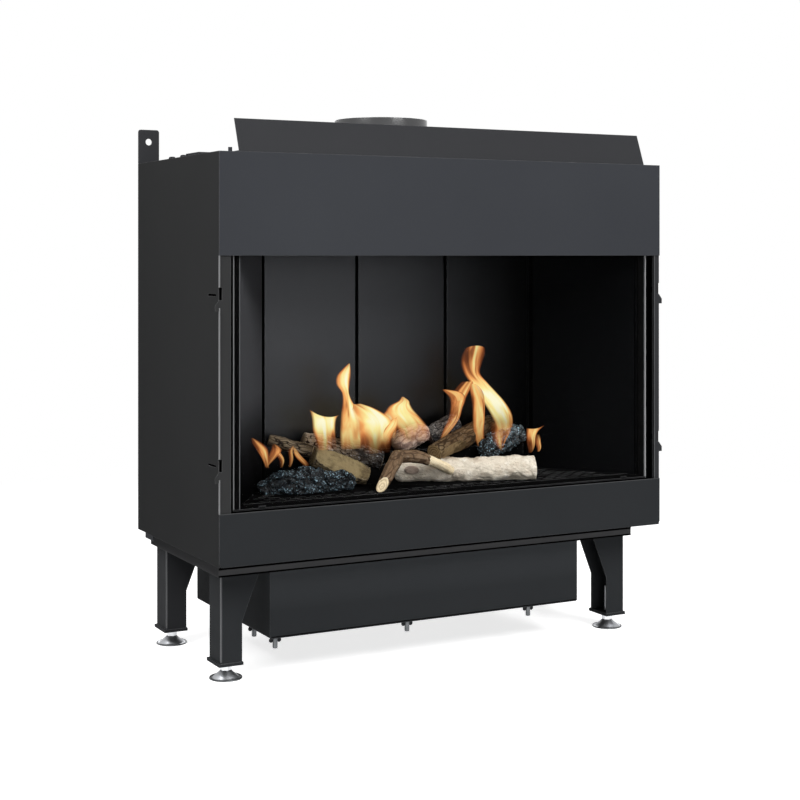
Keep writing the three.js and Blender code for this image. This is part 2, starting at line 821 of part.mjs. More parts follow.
function buildFirebox() {
  const plateFront = front + chamber.frontSetback;
  const plateRear = plateFront + chamber.shellWall;
  const inner = liner.thickness + gap;
  const outer = inner + chamber.shellWall;
  const floorLow = chamber.floor - chamber.shellWall;
  const shellFront = plateRear + gap;

  const frontPlate = block(
    [-plateHalf, plateFront, casing.bottom + sheet + gap],
    [plateHalf, plateRear, ceiling],
  );
  const window = block(
    [-windowHalf, plateFront - overrun, windowFrame.bottom],
    [windowHalf, plateRear + overrun, fascia.upperBottom],
  );
  const outerPlan = chamberPlan(shellFront, outer);
  const innerPlan = chamberPlan(shellFront, inner);
  const walls = prism(outline([...outerPlan, ...innerPlan.reverse()]), 'z', floorLow, ceiling);
  const floor = prism(outline(outerPlan), 'z', floorLow, chamber.floor);
  const roof = prism(outline(outerPlan), 'z', ceiling - chamber.shellWall, ceiling);
  let shell = join(walls, floor, roof);

  const outlet = block(
    [-hood.halfWidth + hood.holeSideRim, chamberBackY, hoodBottom + hood.holeRim],
    [hood.halfWidth - hood.holeSideRim, chamberBackY + outer + overrun, hoodTop - hood.holeRim],
  );
  const inlet = bar([feedPipeX(), feedPipeY()], burnerBox.stubRadius + gap, floorLow - overrun,
    chamber.floor + overrun, pipe.sides * 2);
  shell = cut(shell, outlet, inlet);
  for (const [, side] of sideNames) {
    shell = shell.subtract(block(
      [side * (relief.innerEnd + overrun), front + relief.lidFront + overrun, ceiling - overrun],
      [side * reliefThroatEnd(), reliefPinY - overrun, ceiling + overrun],
    ));
  }

  // Channel that holds the top edge of the glass
  const lipFront = front + glass.channelSetback;
  const topWeb = block(
    [-glassHalf, lipFront, glass.channelTop - glass.channelWall],
    [glassHalf, plateFront + gap, glass.channelTop],
  );
  const lip = block(
    [-glassHalf, lipFront, glass.top - glass.channelLip],
    [glassHalf, lipFront + glass.channelWall, glass.channelTop],
  );
  addPart('firebox_shell', shell, material('darkLiner'));
  addPart('firebox_front', join(frontPlate.subtract(window), topWeb, lip), material('darkLiner'));
}

// The relief throat stops where the splayed wall of the chamber comes near
function reliefThroatEnd() {
  return Math.min(relief.outerEnd - overrun, wallX(reliefPinY) - overrun);
}

function buildLiners() {
  const low = chamber.floor + gap;
  const span = 2 * backHalf - liner.jointGap;
  const width = (span - liner.jointGap * (backLinerNames.length - 1)) / backLinerNames.length;
  backLinerNames.forEach((name, index) => {
    const start = -span / 2 + index * (width + liner.jointGap);
    const panelRear = chamberBackY + liner.thickness;
    const panel = block([start, chamberBackY, low], [start + width, panelRear, liner.top]);
    addPart(`back_liner_${name}`, panel, material('darkLiner'));
  });
  for (const [name, side] of sideNames) {
    const rearY = chamberBackY - liner.jointGap;
    const plan = outline([
      [side * wallX(mouthY), mouthY],
      [side * wallX(rearY), rearY],
      [side * wallX(rearY, liner.thickness), rearY],
      [side * wallX(mouthY, liner.thickness), mouthY],
    ]);
    addPart(`side_liner_${name}`, prism(plan, 'z', low, liner.top), material('darkLiner'));
  }
}

function buildFrontRail() {
  const [y0, y1, y2] = [front + frontRail.front, front + frontRail.step, front + frontRail.rear];
  const low = chamber.floor + gap;
  const step = chamber.floor + frontRail.stepHeight;
  const high = chamber.floor + frontRail.height;
  const { wall } = frontRail;
  const halfLength = wallX(y2) - gap;
  const profile = outline([
    [y0, low], [y0, step], [y1, step], [y1, high], [y2, high], [y2, low],
    [y2 - wall, low], [y2 - wall, high - wall], [y1 + wall, high - wall], [y1 + wall, step - wall],
    [y0 + wall, step - wall], [y0 + wall, low],
  ]);
  addPart('chamber_front_rail', prism(profile, 'x', -halfLength, halfLength), material('blackIron'));
}

// The tray has staggered air slots in front of the logs and at both ends
function buildTray() {
  const frontY = front + tray.front;
  const clear = -gap - gap;
  const plan = chamberPlan(frontY, clear);
  const low = chamber.floor + gap;
  const plate = prism(outline(plan), 'z', tray.top - tray.thickness, tray.top);
  const [frontLeft, , , frontRight] = plan;
  const lip = block(
    [frontLeft[0] + tray.margin, frontY, low],
    [frontRight[0] - tray.margin, frontY + tray.thickness, tray.top],
  );
  let body = plate.add(lip);
  for (let row = 0; row < tray.rowCount; row += 1) {
    const y = front + tray.firstRow + row * tray.pitchAcross;
    const limit = wallX(y + tray.slotWidth) - tray.margin;
    const shift = row % 2 ? tray.pitchAlong / 2 : 0;
    const count = Math.floor(limit / tray.pitchAlong) + 1;
    for (let column = -count; column <= count; column += 1) {
      const start = column * tray.pitchAlong + shift - tray.slotLength / 2;
      const end = start + tray.slotLength;
      const plain = end > -tray.plainLeft && start < tray.plainRight && y > front + tray.plainFront;
      if (start < -limit || end > limit || plain) continue;
      body = body.subtract(block([start, y, tray.top - tray.thickness - overrun],
        [end, y + tray.slotWidth, tray.top + overrun]));
    }
  }
  addPart('burner_tray', body, material('blackIron'));
}

function feedPipeX() {
  return left + valve.fromLeft + valve.length * valve.solenoidShares[1];
}

function feedPipeY() {
  return front + (burnerBox.front + burnerBox.rear) / 2;
}

function buildBurners() {
  const low = chamber.floor + gap;
  const high = tray.top - tray.thickness - gap;
  const box = block(
    [-burnerBox.halfLength, front + burnerBox.front, low],
    [burnerBox.halfLength, front + burnerBox.rear, high],
  );
  const stub = bar([feedPipeX(), feedPipeY()], burnerBox.stubRadius, low - burnerBox.stubDrop, high,
    pipe.sides * 2);
  addPart('burner_box', join(box, stub, feedPipe()), material('blackIron'));

  const shelf = rearBurnerBlock(0);
  let body = shelf.add(rearBurnerLip(0));
  const x0 = acrossCasing(rearBurner.leftShare) + rearBurner.portInset;
  const length = acrossCasing(rearBurner.rightShare) - rearBurner.portInset - x0;
  const count = Math.floor(length / rearBurner.portPitch);
  const y = front + rearBurner.front + rearBurner.portInset;
  for (let index = 0; index <= count; index += 1) {
    const x = x0 + index * rearBurner.portPitch;
    body = body.subtract(bar([x, y], rearBurner.portRadius, rearBurner.top - rearBurner.portDepth,
      rearBurner.top + overrun, pipe.sides));
  }
  addPart('rear_burner', body, material('blackIron'));
}

// A high shelf with the ports, and a lower one to its left
function rearBurnerBlock(grow) {
  const high = block(
    [acrossCasing(rearBurner.leftShare) - grow, front + rearBurner.front - grow, tray.top + gap],
    [acrossCasing(rearBurner.rightShare) + grow, front + rearBurner.rear + grow, rearBurner.top + grow],
  );
  const low = block(
    [acrossCasing(rearBurner.leftEndShare) - grow, front + rearBurner.front - grow, tray.top + gap],
    [acrossCasing(rearBurner.leftShare) + rearBurner.lipThickness, front + rearBurner.rear + grow, rearBurner.lowTop + grow],
  );
  return high.add(low);
}

function rearBurnerLip(grow) {
  const lipRear = front + rearBurner.rear;
  const lipTop = rearBurner.top + rearBurner.lipHeight;
  return block(
    [acrossCasing(rearBurner.leftShare) - grow, lipRear - rearBurner.lipThickness - grow, tray.top + gap],
    [acrossCasing(rearBurner.rightShare) + grow, lipRear + grow, lipTop + grow],
  );
}

function buildPilot() {
  const { x, y } = hearthPoint(pilot.hearthShare, 0);
  const base = tray.top + gap;
  const top = base + pilot.footHeight;
  const plate = block(
    [x - pilot.footWidth / 2, y - pilot.footDepth / 2, base],
    [x + pilot.footWidth / 2, y + pilot.footDepth / 2, top],
  );
  const burner = bar([x, y], pilot.hoodRadius, base, top + pilot.hoodHeight, pipe.sides * 2);
  const electrode = bar([x - pilot.spacing, y], pilot.rodRadius, base, top + pilot.rodHeight, pipe.sides);
  const sensor = bar([x + pilot.spacing, y], pilot.rodRadius, base, top + pilot.rodHeight, pipe.sides);
  addPart('pilot_assembly', join(plate, burner, electrode, sensor), material('zincSteel'));
}

// The glass hangs from its top edge in a group there. A rail with two clips runs
// along its lower edge
function buildGlass() {
  const hinge = new THREE.Group();
  const pivotY = front + glass.setback + glass.thickness / 2;
  hinge.position.set(0, pivotY, glass.top);
  fireplace.add(hinge);
  const half = glass.thickness / 2;
  const low = glass.bottom - glass.top;
  const pane = block([-glassHalf, -half, low], [glassHalf, half, 0]);
  addPart('glass_pane', pane, material('clearGlass'), hinge);

  const faceY = -half - gap;
  let rail = block(
    [-glassHalf, faceY - clip.thickness, low],
    [glassHalf, faceY, low + clip.railHeight],
  );
  for (const [, side] of sideNames) {
    const x = side * clip.centreShare * glassHalf;
    const tongue = block(
      [x - clip.width / 2, faceY - clip.thickness, low],
      [x + clip.width / 2, faceY, low + clip.height],
    );
    const nose = block(
      [x - clip.width / 2, faceY - clip.standOff, low + clip.height - clip.thickness],
      [x + clip.width / 2, faceY, low + clip.height],
    );
    rail = join(rail, tongue, nose);
  }
  addPart('glass_bottom_rail', rail, material('zincSteel'), hinge);

  const sealFront = pivotY + half + gap;
  const sealRear = front + chamber.frontSetback - gap;
  const outerX = glassHalf - gasket.inset;
  const innerX = outerX - gasket.width;
  const bottomZ = glass.bottom + gasket.inset;
  const topZ = fascia.upperBottom + gasket.width;
  const seal = block([-outerX, sealFront, bottomZ], [outerX, sealRear, topZ]);
  const hole = block(
    [-innerX, sealFront - overrun, bottomZ + gasket.width / 2],
    [innerX, sealRear + overrun, topZ - gasket.width],
  );
  addPart('glass_gasket', seal.subtract(hole), material('ropeSeal'));
}

// Logs

// A body swept along points, with a radius at each and a lumpy, bark-like skin
function loftLog(points, radii, lumpShare, grow) {
  const curve = new THREE.CatmullRomCurve3(points);
  const up = new THREE.Vector3(0, 0, 1);
  const positions = [];
  for (let ring = 0; ring <= logRings; ring += 1) {
    const share = ring / logRings;
    const centre = curve.getPoint(share);
    const along = curve.getTangent(share);
    const across = new THREE.Vector3().crossVectors(along, up).normalize();
    const over = new THREE.Vector3().crossVectors(across, along).normalize();
    const radius = radiusAt(radii, share);
    if (ring === 0) centre.addScaledVector(along, -grow);
    if (ring === logRings) centre.addScaledVector(along, grow);
    for (let side = 0; side < logSides; side += 1) {
      const angle = (2 * Math.PI * side) / logSides;
      const lump = Math.sin(3 * angle + ring) * 0.6 + Math.sin(5 * angle - 2 * ring) * 0.4;
      const reach = radius * (1 + lumpShare * lump) + grow;
      const point = centre.clone()
        .addScaledVector(across, Math.cos(angle) * reach)
        .addScaledVector(over, Math.sin(angle) * reach);
      positions.push(point);
    }
  }
  const startTip = curve.getPoint(0).addScaledVector(curve.getTangent(0), -grow);
  const endTip = curve.getPoint(1).addScaledVector(curve.getTangent(1), grow);
  return skinOfRings(positions, startTip, endTip);
}

function radiusAt(radii, share) {
  const place = share * (radii.length - 1);
  const index = Math.min(Math.floor(place), radii.length - 2);
  return THREE.MathUtils.lerp(radii[index], radii[index + 1], place - index);
}

function skinOfRings(positions, startTip, endTip) {
  const array = [...positions, startTip, endTip].flatMap((point) => point.toArray());
  const startIndex = positions.length;
  const index = [];
  for (let side = 0; side < logSides; side += 1) {
    const next = (side + 1) % logSides;
    for (let ring = 0; ring < logRings; ring += 1) {
      const low = ring * logSides;
      const high = low + logSides;
      index.push(low + side, low + next, high + next, low + side, high + next, high + side);
    }
    const lastRing = logRings * logSides;
    index.push(startIndex, next, side, startIndex + 1, lastRing + side, lastRing + next);
  }
  const geometry = new THREE.BufferGeometry();
  geometry.setAttribute('position', new THREE.Float32BufferAttribute(array, 3));
  geometry.setIndex(index);
  const solid = toSolid(geometry);
  if (solid.volume() > 0) return solid;
  for (let corner = 0; corner < index.length; corner += 3) {
    [index[corner], index[corner + 1]] = [index[corner + 1], index[corner]];
  }
  geometry.setIndex(index);
  return toSolid(geometry);
}

function hearthPoint([acrossShare, depthShare], rise) {
  return new THREE.Vector3(
    acrossShare * mouthHalf,
    front + depthShare * chamber.backSetback,
    tray.top + rise,
  );
}

function plainLog(log, grow) {
  const start = hearthPoint(log.startShare, log.startRise);
  const end = hearthPoint(log.endShare, log.endRise);
  const middle = start.clone().lerp(end, 1 / 2);
  const radii = [log.startRadius, log.middleRadius, log.middleRadius, log.endRadius];
  return loftLog([start, middle, end], radii, log.lumpShare, grow);
}

function forkedBranch(grow) {
  const stemStart = hearthPoint(branch.stemStartShare, branch.stemStartRise);
  const fork = hearthPoint(branch.forkShare, branch.forkRise);
  const limbEnd = hearthPoint(branch.limbEndShare, branch.limbEndRise);
  const limbMiddle = fork.clone().lerp(limbEnd, 1 / 2);
  limbMiddle.z = tray.top + branch.limbMiddleRise;
  const stemMiddle = stemStart.clone().lerp(fork, 1 / 2);
  const stemRadii = [branch.stemRadius, branch.stemRadius, branch.forkRadius];
  const limbRadii = [branch.forkRadius, branch.limbRadius, branch.limbEndRadius];
  const stem = loftLog([stemStart, stemMiddle, fork], stemRadii, branch.lumpShare, grow);
  const limb = loftLog([fork, limbMiddle, limbEnd], limbRadii, branch.lumpShare, grow);
  return join(stem, limb);
}

// The space that the logs lie in: above the tray, inside the liners, off the rear burner
function hearthSpace() {
  const plan = chamberPlan(front + frontRail.rear + gap, -gap - gap);
  const space = prism(outline(plan), 'z', tray.top + gap, liner.top);
  return cut(space, rearBurnerBlock(gap), rearBurnerLip(gap));
}

function buildLogs() {
  const laid = [];
  let space = hearthSpace();
  const lay = (name, makeLog, tone) => {
    const body = cut(makeLog(0), ...laid).intersect(space);
    const surface = new THREE.MeshStandardMaterial({ color: tone, roughness: 0.9, metalness: 0 });
    addPart(name, body, surface);
    laid.push(makeLog(gap + gap));
  };
  for (const [name, log] of Object.entries(logs)) {
    lay(name, (grow) => plainLog(log, grow), log.tone);
    if (name === 'charred_log') lay('forked_branch', forkedBranch, branch.tone);
  }
}

// Gas box, lid, wing nuts, valve and pipes

function nutPlaces() {
  const places = [];
  const boxLength = casing.width - gasBox.leftInset - gasBox.rightInset;
  const pitchAlong = lid.pitchAlongShare * boxLength;
  for (let row = 0; row < lidRows; row += 1) {
    for (let column = 0; column < lidColumns; column += 1) {
      const x = left + gasBox.leftInset + lid.firstInset + column * pitchAlong;
      const y = front + gasBox.front + lid.frontInset + row * lid.pitchAcross;
      places.push([x, y]);
    }
  }
  return places;
}

function buildGasBox() {
  const x0 = left + gasBox.leftInset;
  const x1 = right - gasBox.rightInset;
  const y0 = front + gasBox.front;
  const y1 = front + gasBox.rear;
  const top = casing.bottom - gap - frame.height - gap;
  const { bottom, flange } = gasBox;
  const floor = bottom + gasBox.lidRecess;
  const places = nutPlaces();
  const [firstX, firstY] = places[0];
  const [lastX, lastY] = places[places.length - 1];

  const outer = roundedBox([x0, y0], [x1, y1], bottom, top, gasBox.cornerRadius);
  const space = block([x0 + sheet, y0 + sheet, floor + sheet], [x1 - sheet, y1 - sheet, top - sheet]);
  const mouth = block([x0 + flange, y0 + flange, top - overrun], [x1 - flange, y1 - flange, top + overrun]);
  const recess = block([x0 + sheet, y0 + sheet, bottom - overrun], [x1 - sheet, y1 - sheet, floor]);
  const rim = gasBox.lidOpeningRim;
  const access = block(
    [firstX + rim, firstY + rim, bottom - overrun],
    [lastX - rim, lastY - rim, floor + sheet + overrun],
  );
  const inletY = front + gasBox.inletFromFront;
  const inlet = bar([inletY, gasBox.inletHeight], gasBox.inletRadius + gap, x1 - overrun, x1 + overrun,
    pipe.sides * 2, 'x');
  let box = cut(outer, space, mouth, recess, access, inlet);
  for (const [x, y] of places) {
    const studLow = bottom - wingNut.studEnd;
    box = box.add(bar([x, y], wingNut.studRadius, studLow, floor + sheet / 2, pipe.sides + 4));
  }
  addPart('gas_box', box, material('blackSteel'));

  const lidTop = floor - gap;
  let plate = block([firstX - lid.margin, firstY - lid.margin, lidTop - lid.thickness],
    [lastX + lid.margin, lastY + lid.margin, lidTop]);
  for (const [x, y] of places) {
    const hole = bar([x, y], wingNut.studRadius + wingNut.boreClearance, bottom - overrun,
      lidTop + overrun, pipe.sides + 4);
    plate = plate.subtract(hole);
  }
  addPart('gas_box_lid', plate, material('blackSteel'));
  const nutTop = lidTop - lid.thickness - gap;
  places.forEach(([x, y], index) => buildWingNut(`wing_nut_${index + 1}`, x, y, nutTop));
}

// A box whose lower edges at its two ends are rounded off
function roundedBox([x0, y0], [x1, y1], low, high, radius) {
  const shape = new THREE.Shape();
  shape.moveTo(x0 + radius, low);
  shape.lineTo(x1 - radius, low);
  shape.absarc(x1 - radius, low + radius, radius, -Math.PI / 2, 0, false);
  shape.lineTo(x1, high);
  shape.lineTo(x0, high);
  shape.absarc(x0 + radius, low + radius, radius, Math.PI, 1.5 * Math.PI, false);
  return prism(shape, 'y', y0, y1, 3);
}

function buildWingNut(name, x, y, top) {
  const { hubRadius, hubHeight, baseRadius, baseHeight } = wingNut;
  const bore = wingNut.studRadius + wingNut.boreClearance;
  const hub = turned([
    [bore, 0],
    [bore, -hubHeight],
    [hubRadius - sheet / 2, -hubHeight],
    [hubRadius, -hubHeight + baseHeight],
    [hubRadius, -baseHeight],
    [baseRadius, 0],
    [bore, 0],
  ], pipe.sides + 4);
  let nut = hub;
  for (const [, side] of sideNames) {
    const wing = new THREE.Shape();
    const reach = side * wingNut.wingReach;
    wing.moveTo(side * (hubRadius - sheet / 2), -wingNut.wingBottom - sheet);
    wing.quadraticCurveTo(side * hubRadius, -wingNut.wingBottom, reach, -wingNut.wingBottom / 2);
    wing.quadraticCurveTo(reach, -wingNut.wingTop, side * hubRadius, -wingNut.wingTop - sheet);
    wing.lineTo(side * (hubRadius - sheet / 2), -wingNut.wingTop - sheet);
    nut = nut.add(prism(wing, 'y', -wingNut.wingThickness / 2, wingNut.wingThickness / 2, 4));
  }
  const mesh = addPart(name, nut, material('blackIron'));
  mesh.position.set(x, y, top);
}

function buildValve() {
  const x0 = left + valve.fromLeft;
  const y0 = front + valve.fromFront;
  const y1 = y0 + valve.depth;
  const x1 = x0 + valve.length;
  const top = valve.bottom + valve.height;
  const boxFloor = gasBox.bottom + gasBox.lidRecess + sheet + gap;
  const body = block([x0, y0, valve.bottom], [x1, y1 + gap, top]);
  const upright = block([x0, y1, boxFloor], [x1, y1 + valve.bracketThickness, top]);
  const footRear = y1 + valve.bracketFoot;
  const footPlate = block([x0, y1, boxFloor], [x1, footRear, boxFloor + valve.bracketThickness]);
  const coils = valve.solenoidShares.map((share) => bar(
    [x0 + share * valve.length, (y0 + y1) / 2], valve.solenoidRadius, top - gap, top + valve.solenoidHeight,
    pipe.sides * 2,
  ));
  addPart('gas_valve', join(body, upright, footPlate, ...coils), material('zincSteel'));

  const knobX = x0 + knob.shareAlong * valve.length;
  const knobY = (y0 + y1) / 2;
  const grip = knob.gripWidth / 2;
  const disc = turned([
    [0, 0],
    [0, -knob.length],
    [knob.radius - grip, -knob.length],
    [knob.radius, -knob.length + grip],
    [knob.radius, 0],
    [0, 0],
  ], flue.sides / 2);
  const ridge = block(
    [-grip, -knob.radius + grip, -knob.length - knob.gripHeight],
    [grip, knob.radius - grip, -knob.length + grip],
  );
  const turner = addPart('valve_knob', disc.add(ridge), material('knobPlastic'));
  turner.position.set(knobX, knobY, valve.bottom - gap);
}

// A pipe through straight runs, with a bend of the pipe's own radius at each corner
function bentPipe(corners) {
  const path = new THREE.CurvePath();
  let last = corners[0];
  for (let index = 1; index < corners.length - 1; index += 1) {
    const corner = corners[index];
    const into = corner.clone().sub(last);
    const out = corners[index + 1].clone().sub(corner);
    const bend = Math.min(pipe.bend, into.length() / 2, out.length() / 2);
    const start = corner.clone().addScaledVector(into.normalize(), -bend);
    const end = corner.clone().addScaledVector(out.normalize(), bend);
    path.add(new THREE.LineCurve3(last, start));
    path.add(new THREE.QuadraticBezierCurve3(start, corner, end));
    last = end;
  }
  path.add(new THREE.LineCurve3(last, corners[corners.length - 1]));
  const section = new THREE.Shape();
  section.absarc(0, 0, pipe.radius, 0, 2 * Math.PI, false);
  const geometry = new THREE.ExtrudeGeometry(section, {
    steps: pipe.sides * (corners.length - 1),
    curveSegments: pipe.sides / 2,
    extrudePath: path,
  });
  return toSolid(geometry);
}

// The pipe from the valve up to the burner box, which it is brazed to
function feedPipe() {
  const coilTop = valve.bottom + valve.height + valve.solenoidHeight + gap;
  const coilY = front + valve.fromFront + valve.depth / 2;
  const x = feedPipeX();
  const riserLevel = (coilTop + casing.bottom) / 2;
  return bentPipe([
    new THREE.Vector3(x, coilY, coilTop),
    new THREE.Vector3(x, coilY, riserLevel),
    new THREE.Vector3(x, feedPipeY(), riserLevel),
    new THREE.Vector3(x, feedPipeY(), chamber.floor),
  ]);
}

function buildInletPipe() {
  const coilY = front + valve.fromFront + valve.depth / 2;
  const valveEnd = left + valve.fromLeft + valve.length + gap;
  const boxEnd = right - gasBox.rightInset;
  const inletY = front + gasBox.inletFromFront;
  const level = gasBox.inletHeight;
  const run = bentPipe([
    new THREE.Vector3(valveEnd, coilY, level),
    new THREE.Vector3(valveEnd + valve.length, coilY, level),
    new THREE.Vector3(valveEnd + valve.length, inletY, level),
    new THREE.Vector3(boxEnd + gasBox.inletReach, inletY, level),
  ]);
  const unionStart = boxEnd + gap;
  const unionEnd = unionStart + gasBox.unionLength;
  const union = bar([inletY, level], gasBox.unionRadius, unionStart, unionEnd, 6, 'x');
  addPart('gas_inlet_pipe', run.add(union), material('brass'));
}

buildBaseFrame();
buildCasing();
buildDeflector();
buildFlue();
for (const [name, side] of sideNames) {
  buildBracket(name, side);
  buildReliefFlap(name, side);
}
buildFirebox();
buildLiners();
buildFrontRail();
buildTray();
buildBurners();
buildPilot();
buildGlass();
buildLogs();
buildLegs();
buildGasBox();
buildValve();
buildInletPipe();

export default fireplace;
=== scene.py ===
import bmesh
import bpy
import json
import math
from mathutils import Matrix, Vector, noise


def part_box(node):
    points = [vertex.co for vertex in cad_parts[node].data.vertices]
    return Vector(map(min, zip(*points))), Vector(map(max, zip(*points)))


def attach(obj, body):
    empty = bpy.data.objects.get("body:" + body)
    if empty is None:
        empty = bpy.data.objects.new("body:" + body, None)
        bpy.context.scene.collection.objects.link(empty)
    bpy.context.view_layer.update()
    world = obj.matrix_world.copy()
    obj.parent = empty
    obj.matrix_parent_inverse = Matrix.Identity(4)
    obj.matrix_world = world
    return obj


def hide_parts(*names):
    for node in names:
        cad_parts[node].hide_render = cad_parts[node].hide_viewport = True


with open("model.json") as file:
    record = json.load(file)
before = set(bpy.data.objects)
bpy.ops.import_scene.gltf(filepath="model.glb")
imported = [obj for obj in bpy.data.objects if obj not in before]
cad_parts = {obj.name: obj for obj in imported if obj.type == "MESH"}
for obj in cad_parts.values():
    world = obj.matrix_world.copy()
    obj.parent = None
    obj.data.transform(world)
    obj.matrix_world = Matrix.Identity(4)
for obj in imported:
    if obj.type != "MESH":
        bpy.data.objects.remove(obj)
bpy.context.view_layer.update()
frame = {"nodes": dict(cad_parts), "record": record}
parts = frame["nodes"]
print("frame loaded:", len(parts), "nodes")

# metres, in the frame of the part: X along the front, Y from front to back, Z up

view = {
    "position": (-1.5389, -2.8939, 0.807),  # level with the lower edge of the upper fascia
    "turn": 27.96,  # degrees, towards the casing's left side
    "lens": 69.85,
    "sensor": 36.0,
    "shiftY": -0.1812,
}
lamps = {
    "keyLamp": {"place": (0.9, -2.9, 2.8), "size": 1.6, "power": 112.0},
    "sideLamp": {"place": (-1.9, -0.6, 2.4), "size": 1.2, "power": 60.0},
    "fillLamp": {"place": (-0.6, -4.2, 0.5), "size": 1.9, "power": 50.0},
    "backLamp": {"place": (1.4, 3.2, 2.6), "size": 2.0, "power": 70.0},
}
studio = {
    "aim": (0.0, -0.2, 0.6),  # every lamp points here
    "worldLight": 0.06,
    "floorColour": (0.8, 0.8, 0.8), "floorGlow": 0.76, "floorSize": 60.0, "floorRough": 0.9,
    "whiteFrom": 1.1, "whiteTo": 2.6,  # distances at which the floor turns into plain white
}


def makeCamera():
    camera = bpy.data.objects.new("camera", bpy.data.cameras.new("camera"))
    camera.data.lens = view["lens"]
    camera.data.sensor_width = view["sensor"]
    camera.data.sensor_fit = "HORIZONTAL"
    camera.data.shift_y = view["shiftY"]
    camera.data.clip_end = 100.0
    camera.location = view["position"]
    camera.rotation_euler = (math.radians(90), 0, -math.radians(view["turn"]))
    bpy.context.scene.collection.objects.link(camera)
    bpy.context.scene.camera = camera


def makeLamps():
    for name, look in lamps.items():
        lamp = bpy.data.objects.new(name, bpy.data.lights.new(name, "AREA"))
        lamp.data.shape = "SQUARE"
        lamp.data.size = look["size"]
        lamp.data.energy = look["power"]
        lamp.location = look["place"]
        towards = Vector(studio["aim"]) - Vector(look["place"])
        lamp.rotation_euler = towards.to_track_quat("-Z", "Y").to_euler()
        bpy.context.scene.collection.objects.link(lamp)
    print("lamps hung:", len(lamps))


def makeWorld():
    world = bpy.data.worlds.new("studio")
    bpy.context.scene.world = world
    world.use_nodes = True
    tree = world.node_tree
    strength = addNode(tree, "ShaderNodeMix", {"data_type": "FLOAT"},
                       **{"0": seenByLens(tree), "2": studio["worldLight"], "3": 1.0})
    fillSockets(tree, tree.nodes["Background"], Color=(1, 1, 1, 1), Strength=strength.outputs[0])


def seenByLens(tree):  # 1 for what the lens, a mirror or clear glass shows
    path = addNode(tree, "ShaderNodeLightPath")
    direct = compute(tree, "MAXIMUM", path.outputs["Is Camera Ray"], path.outputs["Is Glossy Ray"])
    return compute(tree, "MAXIMUM", direct, path.outputs["Is Transmission Ray"])


def makeFloor():
    half = studio["floorSize"] / 2
    corners = [(-half, -half, 0), (half, -half, 0), (half, half, 0), (-half, half, 0)]
    floor = newPiece("floor", corners, [(0, 1, 2, 3)])
    material, tree, shader = newMaterial("floor")
    place = addNode(tree, "ShaderNodeTexCoord").outputs["Object"]
    reach = addNode(tree, "ShaderNodeVectorMath", {"operation": "LENGTH"}, **{"0": place})
    far = spread(tree, reach.outputs["Value"], studio["whiteFrom"], studio["whiteTo"])
    tone = blendColour(tree, far, studio["floorColour"], (0.0, 0.0, 0.0))
    glow = compute(tree, "MULTIPLY", seenByLens(tree), spread(tree, far, 0.0, 1.0, studio["floorGlow"], 1.0))
    fillSockets(tree, shader, Base_Color=tone, Roughness=studio["floorRough"], Specular_IOR_Level=0.0,
                Emission_Color=(1, 1, 1, 1), Emission_Strength=glow)
    floor.data.materials.append(material)
    print("floor laid")


# meshes

def newPiece(name, points, faces, smooth=False):
    mesh = bpy.data.meshes.new(name)
    mesh.from_pydata([tuple(point) for point in points], [], faces)
    mesh.validate()
    if smooth:
        mesh.shade_smooth()
    piece = bpy.data.objects.new(name, mesh)
    bpy.context.scene.collection.objects.link(piece)
    return piece


def finishPiece(piece, body, slot, finish, *replaced):
    piece.data.materials.clear()
    piece.data.materials.append(finishes[finish])
    if replaced:
        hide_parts(*replaced)
    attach(piece, body)
    return piece


def gridFaces(rings, sides, closed=True):
    faces = []
    for ring in range(rings - 1):
        for side in range(sides if closed else sides - 1):
            here = ring * sides + side
            beside = ring * sides + (side + 1) % sides
            faces.append((here, beside, beside + sides, here + sides))
    return faces


def turnOutwards(piece, weld=None):
    work = bmesh.new()
    work.from_mesh(piece.data)
    if weld:
        bmesh.ops.remove_doubles(work, verts=work.verts, dist=weld)
    bmesh.ops.recalc_face_normals(work, faces=work.faces)
    work.to_mesh(piece.data)
    work.free()


def smoothByAngle(piece, degrees=35):
    piece.data.shade_smooth()
    piece.data.set_sharp_from_angle(angle=math.radians(degrees))


def rounded(profile, radius, steps=3):  # a profile with its corners turned into small arcs
    smooth = [profile[0]]
    for before, corner, after in zip(profile, profile[1:], profile[2:]):
        back = Vector(before) - Vector(corner)
        ahead = Vector(after) - Vector(corner)
        reach = min(radius, back.length / 2.2, ahead.length / 2.2)
        first = Vector(corner) + back.normalized() * reach
        last = Vector(corner) + ahead.normalized() * reach
        for step in range(steps + 1):
            share = step / steps
            point = first.lerp(Vector(corner), share).lerp(Vector(corner).lerp(last, share), share)
            smooth.append((point.x, point.y))
    smooth.append(profile[-1])
    return smooth


def turnedRings(profile, sides, centre, shape=None):
    points = []
    for ring, (radius, height) in enumerate(profile):
        for side in range(sides):
            angle = 2 * math.pi * side / sides
            reach = radius * (shape(angle, ring) if shape else 1)
            points.append((centre[0] + reach * math.cos(angle), centre[1] + reach * math.sin(angle),
                           centre[2] + height))
    return points


def inMetres(profile):  # from millimetres
    return [(radius / 1000, height / 1000) for radius, height in profile]


def middleOf(node):  # the middle of a node's foot
    low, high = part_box(node)
    return (low.x + high.x) / 2, (low.y + high.y) / 2, low.z


def turnedPiece(name, profile, sides, centre, closed=False, shape=None):
    # closed: the profile is a loop round a bore; otherwise it starts and ends on the axis
    rings = profile + [profile[0]] if closed else profile
    piece = newPiece(name, turnedRings(rings, sides, centre, shape), gridFaces(len(rings), sides))
    turnOutwards(piece, 0.000001)
    smoothByAngle(piece)
    return piece


def hexShape(angle):  # radius of a hexagon against that of its corners
    return math.cos(math.pi / 6) / math.cos((angle + math.pi / 6) % (math.pi / 3) - math.pi / 6)


# material nodes

